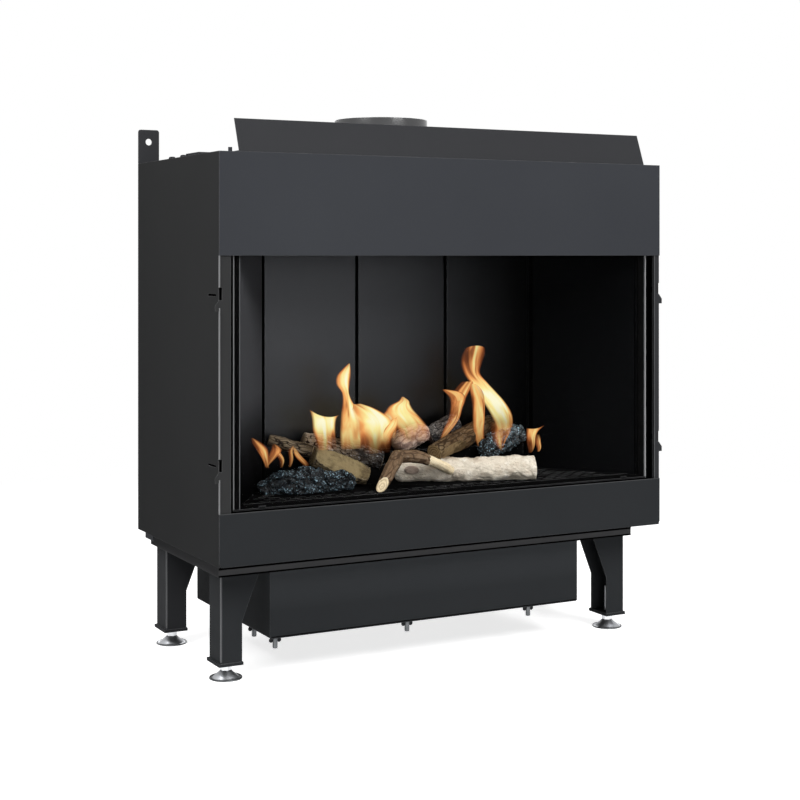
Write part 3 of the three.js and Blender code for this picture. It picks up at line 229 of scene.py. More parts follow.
def fillSockets(tree, node, **sockets):
    for key, value in sockets.items():
        socket = node.inputs[int(key)] if key.isdigit() else node.inputs[key.replace("_", " ")]
        if isinstance(value, bpy.types.NodeSocket):
            tree.links.new(value, socket)
        else:
            socket.default_value = value


def addNode(tree, kind, settings=None, **sockets):
    node = tree.nodes.new(kind)
    for key, value in (settings or {}).items():
        setattr(node, key, value)
    fillSockets(tree, node, **sockets)
    return node


def newMaterial(name):
    material = bpy.data.materials.new(name)
    material.use_nodes = True
    tree = material.node_tree
    return material, tree, tree.nodes["Principled BSDF"]


def spread(tree, value, low, high, newLow=0.0, newHigh=1.0):
    node = addNode(tree, "ShaderNodeMapRange", {"clamp": True}, Value=value, From_Min=low, From_Max=high,
                   To_Min=newLow, To_Max=newHigh)
    return node.outputs["Result"]


def blendColour(tree, factor, first, second, mode="MIX"):
    first, second = ((*value, 1.0) if isinstance(value, tuple) else value for value in (first, second))
    node = addNode(tree, "ShaderNodeMix", {"data_type": "RGBA", "blend_type": mode},
                   **{"0": factor, "6": first, "7": second})
    return node.outputs[2]


def colourRamp(tree, factor, stops):
    ramp = addNode(tree, "ShaderNodeValToRGB", None, Fac=factor)
    while len(ramp.color_ramp.elements) < len(stops):
        ramp.color_ramp.elements.new(0.5)
    for element, (share, colour) in zip(ramp.color_ramp.elements, stops):
        element.position = share
        element.color = (*colour, 1)
    return ramp.outputs["Color"]


def compute(tree, operation, first, second=None):
    values = {"0": first} if second is None else {"0": first, "1": second}
    return addNode(tree, "ShaderNodeMath", {"operation": operation}, **values).outputs[0]


def placeOf(tree, scale=(1, 1, 1)):
    spot = addNode(tree, "ShaderNodeTexCoord").outputs["Object"]
    return addNode(tree, "ShaderNodeMapping", None, Vector=spot, Scale=scale).outputs["Vector"]


def fieldOf(tree, name, output="Fac"):
    return addNode(tree, "ShaderNodeAttribute", {"attribute_name": name}).outputs[output]


def cloud(tree, place, scale, detail=3.0, roughness=0.5):
    node = addNode(tree, "ShaderNodeTexNoise", {"noise_dimensions": "3D"}, Vector=place, Scale=scale,
                   Detail=detail, Roughness=roughness)
    return node.outputs["Fac"]


def bumpFrom(tree, height, distance, normal=None):
    node = addNode(tree, "ShaderNodeBump", None, Height=height, Distance=distance, Strength=1.0)
    if normal is not None:
        tree.links.new(normal, node.inputs["Normal"])
    return node.outputs["Normal"]


def roundedNormal(tree, radius):
    return addNode(tree, "ShaderNodeBevel", {"samples": 6}, Radius=radius).outputs["Normal"]


def edgeMask(tree, bevelNormal):  # 1 where the surface turns sharply
    flat = addNode(tree, "ShaderNodeNewGeometry").outputs["Normal"]
    dot = addNode(tree, "ShaderNodeVectorMath", {"operation": "DOT_PRODUCT"}, **{"0": bevelNormal, "1": flat})
    return spread(tree, dot.outputs["Value"], 0.995, 0.86)


# finishes

# painted shade on the linings near the hearth: how much of the light is left, at shares of the way up between
# two heights
hearthShade = {
    "from": 0.36, "to": 0.69,
    "backLevels": [(0.0, 0.04), (0.30, 0.66), (0.80, 1.0)],
    "leftLevels": [(0.0, 0.03), (0.20, 0.13), (0.34, 0.40), (0.52, 1.0)],
}
coat = {"broadScale": 2.2, "softScale": 28.0, "glossLow": -0.04, "glossHigh": 0.05}


# painted shade: darkens the linings to black towards the hearth
def hearthShadeFade(tree, height, tone, levels):  # the linings are black at the hearth
    stops = [(share, (level, level, level)) for share, level in levels]
    dimmed = colourRamp(tree, spread(tree, height, hearthShade["from"], hearthShade["to"]), stops)
    return blendColour(tree, 1.0, tone, dimmed, "MULTIPLY")


def powderCoat(name, look):
    material, tree, shader = newMaterial(name)
    place = placeOf(tree)
    height = addNode(tree, "ShaderNodeSeparateXYZ", None, Vector=place).outputs["Z"]
    broad = cloud(tree, place, coat["broadScale"], 3.0, 0.55)
    grain = cloud(tree, place, 1 / look["grainSize"], 2.0, 0.6)
    soft = cloud(tree, place, coat["softScale"], 3.0, 0.5)
    tone = blendColour(tree, spread(tree, broad, 0.3, 0.7), look["dark"], look["light"])
    tone = blendColour(tree, spread(tree, grain, 0.62, 0.74, 0.0, look["speck"]), tone, look["wornAndHighlight"])
    # painted light: the tone rises towards the top, where the casing shades the part
    if "paintedLightFrom" in look:  # paler towards the top, where the casing shades it
        lift = spread(tree, height, look["paintedLightFrom"], look["paintedLightTo"], 1.0, look["paintedLightGain"])
        scaled = addNode(tree, "ShaderNodeVectorMath", {"operation": "SCALE"}, Scale=lift)
        tree.links.new(tone, scaled.inputs[0])
        tone = scaled.outputs["Vector"]
    # painted shade: darker towards the hearth
    if "hearthShadeLevels" in look:
        tone = hearthShadeFade(tree, height, tone, look["hearthShadeLevels"])
    edgeNormal = roundedNormal(tree, look["edgeRadius"])
    # edge wear and painted highlight: sharp edges take the pale worn tone
    wornAndLitEdges = compute(tree, "MULTIPLY", edgeMask(tree, edgeNormal), spread(tree, soft, 0.35, 0.65, 0.5, 1.0))
    wornAndLitEdges = compute(tree, "MULTIPLY", wornAndLitEdges, look["edgeWearAndHighlight"])
    gloss = spread(tree, compute(tree, "ADD", broad, soft), 0.7, 1.3,
                   look["gloss"] + coat["glossLow"], look["gloss"] + coat["glossHigh"])
    fillSockets(tree, shader, Base_Color=blendColour(tree, wornAndLitEdges, tone, look["wornAndHighlight"]), Roughness=gloss,
                Specular_IOR_Level=look["specular"],
                Normal=bumpFrom(tree, grain, look["grainHeight"], edgeNormal))
    return material


casingLook = {
    "dark": (0.0350, 0.0372, 0.0425), "light": (0.0400, 0.0425, 0.0480), "wornAndHighlight": (0.150, 0.152, 0.158),
    "speck": 0.06, "edgeWearAndHighlight": 0.8, "grainSize": 0.0011, "grainHeight": 0.00004, "edgeRadius": 0.0012,
    "gloss": 0.50, "specular": 0.02,
}
frameLook = {
    "dark": (0.0290, 0.0296, 0.0318), "light": (0.0335, 0.0342, 0.0368), "wornAndHighlight": (0.150, 0.150, 0.154),
    "speck": 0.05, "edgeWearAndHighlight": 0.8, "grainSize": 0.0013, "grainHeight": 0.00005, "edgeRadius": 0.0012,
    "gloss": 0.52, "specular": 0.01,
}
# the chamber's black paint; it also colours the black bars of painted shade
chamberLook = {
    "dark": (0.0010, 0.0010, 0.0011), "light": (0.0018, 0.0018, 0.0019), "wornAndHighlight": (0.045, 0.045, 0.047),
    "speck": 0.01, "edgeWearAndHighlight": 0.8, "grainSize": 0.0012, "grainHeight": 0.00003, "edgeRadius": 0.0010,
    "gloss": 0.62, "specular": 0.0,
}
# painted shade: a darker copy of the liner for the right wall
shadedLinerLook = {
    "dark": (0.0030, 0.0032, 0.0035), "light": (0.0042, 0.0044, 0.0048), "wornAndHighlight": (0.012, 0.012, 0.013),
    "speck": 0.01, "edgeWearAndHighlight": 0.8, "grainSize": 0.0009, "grainHeight": 0.00001, "edgeRadius": 0.0012,
    "gloss": 0.60, "specular": 0.0,
}
# painted light: a paler copy of the liner for the left wall, with painted shade towards the hearth
litLeftLinerLook = {
    **shadedLinerLook, "dark": (0.0460, 0.0470, 0.0505), "light": (0.0520, 0.0530, 0.0570),
    "hearthShadeLevels": hearthShade["leftLevels"],
}
# painted shade: a darker copy of the casing coat for the left side panel
shadedSideLook = {
    **frameLook, "dark": (0.0320, 0.0325, 0.0330), "light": (0.0350, 0.0355, 0.0360), "specular": 0.0,
}
# painted shade: a darker copy of the frame coat for the lower fascia and the frame steel
shadedLowerLook = {
    **frameLook, "dark": (0.0222, 0.0238, 0.0256), "light": (0.0250, 0.0268, 0.0288),
}
# painted light: the gas box's coat grows paler towards its top, where the casing shades it
boxLook = {
    **shadedLowerLook, "paintedLightFrom": 0.125, "paintedLightTo": 0.205, "paintedLightGain": 1.9,
}
# painted light: a paler copy of the frame coat for the base frame, which lies in the casing's shade
litRingLook = {
    **frameLook, "dark": (0.0600, 0.0602, 0.0620), "light": (0.0680, 0.0682, 0.0700), "specular": 0.0,
}
railLook = {
    **frameLook, "dark": (0.0120, 0.0122, 0.0128), "light": (0.0150, 0.0152, 0.0158), "specular": 0.0,
}
# painted highlights: the pale coat of thin bars along edges that catch the light; the copies below are
# brighter and dimmer
highlightLook = {
    "dark": (0.135, 0.137, 0.141), "light": (0.190, 0.192, 0.196), "wornAndHighlight": (0.30, 0.30, 0.30),
    "speck": 0.10, "edgeWearAndHighlight": 0.3, "grainSize": 0.0010, "grainHeight": 0.00001, "edgeRadius": 0.0004,
    "gloss": 0.45, "specular": 0.20,
}
brightHighlightLook = {
    **highlightLook, "dark": (0.250, 0.253, 0.258), "light": (0.330, 0.333, 0.338),
}
dimHighlightLook = {
    **highlightLook, "dark": (0.070, 0.072, 0.076), "light": (0.090, 0.092, 0.096),
}
# painted highlight along the lower fascia's top edge
fasciaHighlightLook = {
    **highlightLook, "dark": (0.040, 0.041, 0.043), "light": (0.056, 0.057, 0.059), "specular": 0.05,
}
fluePaintLook = {
    "dark": (0.0250, 0.0255, 0.0268), "light": (0.0340, 0.0346, 0.0362), "wornAndHighlight": (0.150, 0.150, 0.155),
    "speck": 0.02, "edgeWearAndHighlight": 0.7, "grainSize": 0.0016, "grainHeight": 0.00001, "edgeRadius": 0.0008,
    "gloss": 0.20, "specular": 0.62,
}


# The liners are polished dark steel, seen by what they mirror. Painted reflection and shade: each panel is
# a little darker than the one on its left, as the left of the hearth is lit and the right is in shade
linerLook = {
    "left": -0.45, "right": 0.45,
    "tones": [(0.00, 0.037), (0.37, 0.037), (0.50, 0.029), (0.62, 0.0150), (0.72, 0.0066), (0.82, 0.0020),
              (1.0, 0.0010)],
    "tint": (1.0, 1.03, 1.10), "hazeScale": 3.0, "hazeTone": (0.90, 0.90, 0.90),
    "roughLow": 0.34, "roughHigh": 0.40, "edgeRadius": 0.0012, "edgeWearAndHighlight": 0.35, "wornAndHighlight": (0.16, 0.165, 0.17),
}


def polishedLiner(name, look):
    material, tree, shader = newMaterial(name)
    place = addNode(tree, "ShaderNodeTexCoord").outputs["Object"]
    axes = addNode(tree, "ShaderNodeSeparateXYZ", None, Vector=place)
    # painted reflection and shade: the tone falls from left to right across the hearth
    stops = [(share, tuple(tone * part for part in look["tint"])) for share, tone in look["tones"]]
    tone = colourRamp(tree, spread(tree, axes.outputs["X"], look["left"], look["right"]), stops)
    haze = cloud(tree, place, look["hazeScale"], 3.0, 0.5)
    clouded = blendColour(tree, spread(tree, haze, 0.3, 0.7), look["hazeTone"], (1.0, 1.0, 1.0))
    tone = blendColour(tree, 1.0, tone, clouded, "MULTIPLY")
    # painted shade towards the hearth
    tone = hearthShadeFade(tree, axes.outputs["Z"], tone, hearthShade["backLevels"])
    edgeNormal = roundedNormal(tree, look["edgeRadius"])
    # edge wear and painted highlight along the liner's edges
    wornAndLitEdges = compute(tree, "MULTIPLY", edgeMask(tree, edgeNormal), look["edgeWearAndHighlight"])
    rough = spread(tree, haze, 0.3, 0.7, look["roughLow"], look["roughHigh"])
    fillSockets(tree, shader, Base_Color=blendColour(tree, wornAndLitEdges, tone, look["wornAndHighlight"]), Metallic=1.0,
                Roughness=rough, Normal=edgeNormal)
    return material


ironLook = {
    "dark": (0.0020, 0.0021, 0.0022), "light": (0.0060, 0.0060, 0.0060), "wornAndHighlight": (0.300, 0.300, 0.300),
    "grainScale": 700.0, "grainHeight": 0.00012, "sootScale": 9.0, "edgeRadius": 0.0007,
    "roughLow": 0.58, "roughHigh": 0.72,
}


def castIron(name, look):
    material, tree, shader = newMaterial(name)
    place = placeOf(tree)
    grain = cloud(tree, place, look["grainScale"], 3.0, 0.65)
    sooty = cloud(tree, place, look["sootScale"], 5.0, 0.6)
    tone = blendColour(tree, spread(tree, sooty, 0.35, 0.68), look["dark"], look["light"])
    edgeNormal = roundedNormal(tree, look["edgeRadius"])
    # edge wear and painted glints: the iron's edges turn pale grey
    wornAndLitEdges = compute(tree, "MULTIPLY", edgeMask(tree, edgeNormal), spread(tree, sooty, 0.40, 0.62, 0.3, 1.0))
    rough = spread(tree, sooty, 0.3, 0.7, look["roughLow"], look["roughHigh"])
    fillSockets(tree, shader, Base_Color=blendColour(tree, wornAndLitEdges, tone, look["wornAndHighlight"]), Roughness=rough,
                Specular_IOR_Level=0.0, Normal=bumpFrom(tree, grain, look["grainHeight"], edgeNormal))
    return material


def platedMetal(name, look):
    material, tree, shader = newMaterial(name)
    brushed = cloud(tree, placeOf(tree, look["stretch"]), look["lineScale"], 2.0, 0.5)
    stain = cloud(tree, placeOf(tree), 40.0, 4.0, 0.6)
    tone = blendColour(tree, spread(tree, stain, 0.35, 0.7), look["bright"], look["dull"])
    rough = compute(tree, "ADD", spread(tree, brushed, 0.3, 0.7, 0.0, look["roughSpread"]),
                    spread(tree, stain, 0.4, 0.75, look["rough"], look["rough"] + 0.12))
    normal = bumpFrom(tree, brushed, look["lineDepth"], roundedNormal(tree, 0.0004))
    fillSockets(tree, shader, Base_Color=tone, Metallic=1.0, Roughness=rough, Normal=normal)
    return material


zincLook = {
    "bright": (0.40, 0.41, 0.43), "dull": (0.26, 0.27, 0.28), "stretch": (1, 1, 1), "lineScale": 260.0,
    "rough": 0.28, "roughSpread": 0.14, "lineDepth": 0.00002,
}
chromeLook = {
    "bright": (0.46, 0.47, 0.49), "dull": (0.33, 0.34, 0.36), "stretch": (1, 1, 14), "lineScale": 90.0,
    "rough": 0.34, "roughSpread": 0.08, "lineDepth": 0.000015,
}
nutChromeLook = {**chromeLook, "bright": (0.74, 0.75, 0.77), "dull": (0.60, 0.61, 0.63), "rough": 0.22}
rimChromeLook = {**chromeLook, "bright": (0.14, 0.145, 0.15), "dull": (0.07, 0.075, 0.08), "rough": 0.25}
brassLook = {
    "bright": (0.70, 0.50, 0.22), "dull": (0.42, 0.28, 0.12), "stretch": (1, 1, 1), "lineScale": 300.0,
    "rough": 0.30, "roughSpread": 0.12, "lineDepth": 0.00002,
}


glassLook = {
    "tint": (0.03, 0.032, 0.033), "bending": 1.45, "hazeScale": 6.0, "roughLow": 0.02, "roughHigh": 0.06,
    "solidLow": 0.002, "solidHigh": 0.006,
}


def clearGlass(name, look):
    material, tree, shader = newMaterial(name)
    haze = cloud(tree, placeOf(tree), look["hazeScale"], 4.0, 0.6)
    fillSockets(tree, shader, Base_Color=(*look["tint"], 1.0), IOR=look["bending"],
                Roughness=spread(tree, haze, 0.35, 0.7, look["roughLow"], look["roughHigh"]),
                Alpha=spread(tree, haze, 0.4, 0.8, look["solidLow"], look["solidHigh"]))
    return material


ropeLook = {
    "dark": (0.0010, 0.0010, 0.0010), "light": (0.0030, 0.0030, 0.0030), "fuzz": (0.006, 0.006, 0.006),
    "twistScale": 150.0, "fuzzScale": 900.0, "depth": 0.0008,
}


def wovenRope(name, look):
    material, tree, shader = newMaterial(name)
    place = placeOf(tree)
    twist = addNode(tree, "ShaderNodeTexWave", {"wave_type": "BANDS", "bands_direction": "DIAGONAL"},
                    Vector=place, Scale=look["twistScale"], Distortion=1.2, Detail=2.0).outputs["Fac"]
    fuzz = cloud(tree, place, look["fuzzScale"], 3.0, 0.7)
    tone = blendColour(tree, spread(tree, twist, 0.1, 0.8), look["dark"], look["light"])
    tone = blendColour(tree, spread(tree, fuzz, 0.6, 0.8, 0.0, 0.5), tone, look["fuzz"])
    height = compute(tree, "ADD", twist, compute(tree, "MULTIPLY", fuzz, 0.3))
    fillSockets(tree, shader, Base_Color=tone, Roughness=0.95, Specular_IOR_Level=0.02,
                Normal=bumpFrom(tree, height, look["depth"]))
    return material


plasticLook = {
    "dark": (0.010, 0.010, 0.011), "light": (0.02, 0.02, 0.021), "grainScale": 1200.0, "grainHeight": 0.00005,
    "smearScale": 30.0, "roughLow": 0.38, "roughHigh": 0.5,
}


def mouldedPlastic(name, look):
    material, tree, shader = newMaterial(name)
    place = placeOf(tree)
    grain = cloud(tree, place, look["grainScale"], 2.0, 0.6)
    smear = cloud(tree, place, look["smearScale"], 3.0, 0.6)
    tone = blendColour(tree, spread(tree, smear, 0.35, 0.65), look["dark"], look["light"])
    fillSockets(tree, shader, Base_Color=tone, Normal=bumpFrom(tree, grain, look["grainHeight"]),
                Roughness=spread(tree, smear, 0.3, 0.7, look["roughLow"], look["roughHigh"]))
    return material


# The skin of a log: bark plates or ash with dark cracks, wood where it is cut or split,
# a change of tone towards each end, and flecks, which on the charred logs are partly painted glints
def logFinish(name, look):
    material, tree, shader = newMaterial(name)
    bark = fieldOf(tree, "barkPlace", "Vector")
    relief = fieldOf(tree, "reliefShare")
    place = placeOf(tree)
    lines = addNode(tree, "ShaderNodeMapping", None, Vector=bark, Scale=(1, 1, look["lineShare"]))
    fibre = cloud(tree, lines.outputs["Vector"], look["fibreScale"], 6.0, 0.65)
    patch = cloud(tree, place, look["patchScale"], 4.0, 0.6)
    speck = cloud(tree, place, 330.0, 3.0, 0.7)
    tone = blendColour(tree, spread(tree, fibre, 0.36, 0.62), look["deep"], look["mid"])
    raised = compute(tree, "MULTIPLY", spread(tree, patch, 0.42, 0.60), spread(tree, relief, 0.45, 0.95))
    tone = blendColour(tree, raised, tone, look["pale"])
    tone = blendColour(tree, spread(tree, relief, 0.05, 0.55), look["crack"], tone)
    burnt = cloud(tree, place, look["charScale"], 4.0, 0.65)
    tone = blendColour(tree, spread(tree, burnt, look["charLow"], look["charLow"] + 0.1), tone, look["char"])
    wander = compute(tree, "MULTIPLY", compute(tree, "SUBTRACT", patch, 0.5), 0.6)
    wander = compute(tree, "ADD", fieldOf(tree, "alongShare"), wander)
    for side, first, last in (("start", look["startTo"], 0.0), ("end", look["endFrom"], 1.0)):
        shareOfEnd = compute(tree, "MULTIPLY", spread(tree, wander, first, last), look[side + "Share"])
        endTone = blendColour(tree, spread(tree, relief, 0.1, 0.7), look["crack"], look[side + "Tone"])
        tone = blendColour(tree, shareOfEnd, tone, endTone)
    # flecks on the raised plates; on the charred logs they are partly ash and partly painted glints
    flecksAndGlints = spread(tree, speck, look["fleckAndGlintFrom"], look["fleckAndGlintFrom"] + look["fleckAndGlintWidth"])
    flecksAndGlints = compute(tree, "MULTIPLY", flecksAndGlints, spread(tree, relief, 0.3, 0.9))
    tone = blendColour(tree, compute(tree, "MULTIPLY", flecksAndGlints, look["fleckAndGlintShare"]), tone, look["fleckAndGlint"])
    wood = cutWood(tree, bark, fibre, speck, look)
    tone = blendColour(tree, spread(tree, fieldOf(tree, "cutShare"), 0.35, 0.65), tone, wood)
    height = compute(tree, "ADD", fibre, compute(tree, "MULTIPLY", speck, 0.5))
    fillSockets(tree, shader, Base_Color=tone, Specular_IOR_Level=look["specular"],
                Roughness=spread(tree, fibre, 0.3, 0.7, look["smooth"], look["smooth"] + 0.2),
                Normal=bumpFrom(tree, height, look["bump"]))
    return material


def cutWood(tree, bark, fibre, speck, look):
    rings = addNode(tree, "ShaderNodeTexWave", {"wave_type": "RINGS", "rings_direction": "Z"}, Vector=bark,
                    Scale=look["ringScale"], Distortion=3.0, Detail=3.0, Detail_Scale=1.5).outputs["Fac"]
    wood = compute(tree, "ADD", compute(tree, "MULTIPLY", rings, look["ringShare"]),
                   compute(tree, "MULTIPLY", fibre, 1 - look["ringShare"]))
    tone = blendColour(tree, spread(tree, wood, 0.30, 0.66), look["cutDark"], look["cutLight"])
    return blendColour(tree, spread(tree, speck, 0.58, 0.72, 0.0, 0.35), tone, look["cutDark"])


barkLook = {
    "deep": (0.045, 0.031, 0.018), "mid": (0.130, 0.096, 0.058), "pale": (0.225, 0.172, 0.112),
    "crack": (0.012, 0.008, 0.006), "char": (0.020, 0.018, 0.017), "fleckAndGlint": (0.42, 0.38, 0.33),
    "lineShare": 0.16, "fibreScale": 150.0, "patchScale": 30.0, "charScale": 14.0, "charLow": 0.60,
    "fleckAndGlintShare": 0.25, "fleckAndGlintFrom": 0.54, "fleckAndGlintWidth": 0.10, "ringScale": 70.0, "ringShare": 0.7,
    "cutLight": (0.62, 0.50, 0.35), "cutDark": (0.34, 0.24, 0.14), "specular": 0.15, "smooth": 0.72,
    "bump": 0.0016,
    "startTone": (0.2, 0.15, 0.1), "startShare": 0.0, "startTo": 0.3,
    "endTone": (0.2, 0.15, 0.1), "endShare": 0.0, "endFrom": 0.7,
}
branchBark = {
    **barkLook, "deep": (0.075, 0.044, 0.024), "mid": (0.165, 0.103, 0.058), "pale": (0.235, 0.160, 0.098),
    "crack": (0.060, 0.036, 0.020), "charLow": 0.70, "ringShare": 0.25, "lineShare": 0.07,
    "cutLight": (0.88, 0.75, 0.51), "cutDark": (0.50, 0.37, 0.21),
}
brownBark = {
    **barkLook, "deep": (0.036, 0.020, 0.009), "mid": (0.098, 0.056, 0.024), "pale": (0.185, 0.112, 0.050),
    "crack": (0.030, 0.017, 0.008), "charLow": 0.60,
    "startTone": (0.26, 0.185, 0.095), "startShare": 0.5, "startTo": 0.22,
    "endTone": (0.04, 0.031, 0.026), "endShare": 0.6, "endFrom": 0.6,
    "cutLight": (0.25, 0.175, 0.088), "cutDark": (0.11, 0.072, 0.034),
}
splitWood = {
    **barkLook, "deep": (0.075, 0.055, 0.030), "mid": (0.160, 0.122, 0.068), "pale": (0.230, 0.185, 0.110),
    "charLow": 0.72, "cutLight": (0.250, 0.192, 0.098), "cutDark": (0.100, 0.072, 0.036), "ringShare": 0.40,
    "ringScale": 46.0, "lineShare": 0.10, "fibreScale": 190.0,
}
# its pale flecks are partly painted glints
charredBrown = {
    **barkLook, "deep": (0.040, 0.029, 0.020), "mid": (0.150, 0.112, 0.078), "pale": (0.265, 0.215, 0.165),
    "charLow": 0.62, "fleckAndGlint": (0.60, 0.64, 0.68), "fleckAndGlintShare": 0.45, "fleckAndGlintFrom": 0.57, "fleckAndGlintWidth": 0.07,
    "startTone": (0.48, 0.385, 0.30), "startShare": 0.9, "startTo": 0.42,
    "endTone": (0.010, 0.013, 0.018), "endShare": 0.95, "endFrom": 0.50,
}
paleAsh = {
    **barkLook, "deep": (0.62, 0.535, 0.425), "mid": (0.80, 0.730, 0.610), "pale": (0.88, 0.835, 0.735),
    "crack": (0.68, 0.610, 0.500), "char": (0.44, 0.355, 0.265), "charLow": 0.57,
    "fleckAndGlint": (0.33, 0.255, 0.185), "fleckAndGlintShare": 0.7, "fleckAndGlintFrom": 0.575, "fleckAndGlintWidth": 0.04,
    "cutLight": (0.42, 0.33, 0.27), "cutDark": (0.13, 0.095, 0.075),
    "lineShare": 0.5, "fibreScale": 70.0, "ringScale": 50.0, "bump": 0.0026,
}
pinkAsh = {
    **paleAsh, "deep": (0.42, 0.300, 0.245), "mid": (0.62, 0.480, 0.400), "pale": (0.74, 0.610, 0.520),
    "crack": (0.26, 0.180, 0.150), "char": (0.20, 0.150, 0.130), "charLow": 0.56,
    "fleckAndGlint": (0.16, 0.11, 0.09),
}
greyAsh = {
    **paleAsh, "deep": (0.045, 0.042, 0.041), "mid": (0.140, 0.130, 0.122), "pale": (0.340, 0.320, 0.300),
    "crack": (0.014, 0.013, 0.013), "char": (0.022, 0.022, 0.025), "charLow": 0.52,
    "fleckAndGlint": (0.62, 0.60, 0.58), "endTone": (0.03, 0.032, 0.038), "endShare": 0.8, "endFrom": 0.6,
    "cutLight": (0.20, 0.185, 0.17), "cutDark": (0.06, 0.055, 0.05),
}
# pale blue flecks, partly ash and partly painted glints on the plates
charWood = {
    **barkLook, "deep": (0.0012, 0.0020, 0.0030), "mid": (0.0035, 0.0065, 0.0095),
    "pale": (0.0080, 0.0165, 0.0235), "crack": (0.0003, 0.0005, 0.0007),
    "char": (0.0014, 0.0022, 0.0034), "charLow": 0.48,
    "fleckAndGlint": (0.52, 0.78, 0.92), "fleckAndGlintShare": 0.9, "fleckAndGlintFrom": 0.585, "fleckAndGlintWidth": 0.05,
    "lineShare": 0.8, "fibreScale": 120.0, "patchScale": 60.0,
    "cutLight": (0.05, 0.07, 0.09), "cutDark": (0.008, 0.010, 0.014), "specular": 0.30, "smooth": 0.36,
    "bump": 0.0032,
}
greyChar = {
    **charWood, "deep": (0.006, 0.008, 0.009), "mid": (0.040, 0.045, 0.048), "pale": (0.140, 0.150, 0.155),
    "fleckAndGlintFrom": 0.565, "startTone": (0.004, 0.008, 0.012), "startShare": 0.95, "startTo": 0.55,
}


# Light only: pale yellow in the middle, orange towards the rim, clear at the foot
flameLook = {
    "tones": [(0.0, (0.28, 0.075, 0.022)), (0.22, (0.60, 0.20, 0.060)), (0.44, (0.90, 0.40, 0.125)),
              (0.62, (0.97, 0.64, 0.235)), (0.80, (0.98, 0.86, 0.36)), (1.0, (0.99, 0.95, 0.66))],
    "lickScale": 1.7, "lickStretch": (0.9, 0.34, 1.0), "streak": 1.5, "middleShare": 0.62, "heatShare": 0.8,
    "coolHeat": 0.55,
}


def flameFinish(name, look):
    material, tree, shader = newMaterial(name)
    field = fieldOf(tree, "flamePlace", "Vector")
    heat = fieldOf(tree, "heatShare")
    axes = addNode(tree, "ShaderNodeSeparateXYZ", None, Vector=field)
    across = compute(tree, "ABSOLUTE", axes.outputs["X"])
    inside = compute(tree, "SUBTRACT", 1.0, compute(tree, "POWER", across, 2.2))
    stretched = addNode(tree, "ShaderNodeMapping", None, Vector=field, Scale=look["lickStretch"])
    lick = addNode(tree, "ShaderNodeTexNoise", {"noise_dimensions": "3D"}, Vector=stretched.outputs["Vector"],
                   Scale=look["lickScale"], Detail=2.0, Roughness=0.4, Distortion=0.8).outputs["Fac"]
    streak = compute(tree, "MULTIPLY", compute(tree, "SUBTRACT", lick, 0.5), look["streak"])
    core = compute(tree, "ADD", compute(tree, "MULTIPLY", inside, look["middleShare"]), streak)
    warmth = compute(tree, "MULTIPLY", compute(tree, "SUBTRACT", heat, look["coolHeat"]), look["heatShare"])
    core = compute(tree, "ADD", core, warmth)
    wisps = compute(tree, "ADD", lick, compute(tree, "MULTIPLY", heat, 0.35))
    alpha = compute(tree, "MULTIPLY", spread(tree, inside, 0.02, 0.42), fieldOf(tree, "bodyShare"))
    alpha = compute(tree, "MULTIPLY", alpha, spread(tree, wisps, 0.40, 0.64, 0.45, 1.0))
    fillSockets(tree, shader, Base_Color=(0, 0, 0, 1), Roughness=1.0, Specular_IOR_Level=0.0,
                Emission_Color=colourRamp(tree, core, look["tones"]), Emission_Strength=1.0, Alpha=alpha)
    material.cycles.emission_sampling = "NONE"
    return material


finishes = {
    "casing": powderCoat("casingCoat", casingLook),
    "frame": powderCoat("frameCoat", frameLook),
    "chamber": powderCoat("chamberPaintAndShade", chamberLook),
    "liner": polishedLiner("linerSteel", linerLook),
    "shadedLiner": powderCoat("shadedLiner", shadedLinerLook),
    "litLeftLiner": powderCoat("litLeftLiner", litLeftLinerLook),
    "side": powderCoat("shadedSideCoat", shadedSideLook),
    "lower": powderCoat("shadedLowerCoat", shadedLowerLook),
    "box": powderCoat("boxCoat", boxLook),
    "rail": powderCoat("railCoat", railLook),
    "ring": powderCoat("litRingCoat", litRingLook),
    "highlight": powderCoat("highlightPaint", highlightLook),
    "dimHighlight": powderCoat("dimHighlight", dimHighlightLook),
    "brightHighlight": powderCoat("brightHighlight", brightHighlightLook),
    "fasciaHighlight": powderCoat("fasciaHighlight", fasciaHighlightLook),
    "flue": powderCoat("fluePaint", fluePaintLook),
    "iron": castIron("blackIron", ironLook),
    "zinc": platedMetal("zincPlate", zincLook),
    "chrome": platedMetal("footChrome", chromeLook),
    "nutChrome": platedMetal("nutChrome", nutChromeLook),
    "rimChrome": platedMetal("rimChrome", rimChromeLook),
    "brass": platedMetal("pipeBrass", brassLook),
    "glass": clearGlass("clearGlass", glassLook),
    "rope": wovenRope("ropeSeal", ropeLook),
    "plastic": mouldedPlastic("knobPlastic", plasticLook),
    "bark": logFinish("barkLog", barkLook),
    "branch": logFinish("branchBark", branchBark),
    "brownBark": logFinish("brownLog", brownBark),
    "split": logFinish("splitLog", splitWood),
    "charredBrown": logFinish("charredBrownLog", charredBrown),
    "ash": logFinish("ashLog", paleAsh),
    "pinkAsh": logFinish("pinkAshLog", pinkAsh),
    "greyAsh": logFinish("greyAshLog", greyAsh),
    "char": logFinish("charLog", charWood),
    "greyChar": logFinish("greyCharLog", greyChar),
    "flame": flameFinish("gasFlame", flameLook),
}

slotFinishes = {
    "casing_steel": "casing", "frame_steel": "lower", "flue_steel": "flue", "chamber_steel": "chamber",
    "liner_board": "liner", "zinc_steel": "zinc", "chrome": "chrome", "cast_iron": "iron",
    "nut_iron": "frame", "clear_glass": "glass", "rope_seal": "rope", "knob_plastic": "plastic",
    "brass": "brass", "charred_log": "char", "ash_log": "ash", "bark_log": "bark",
}
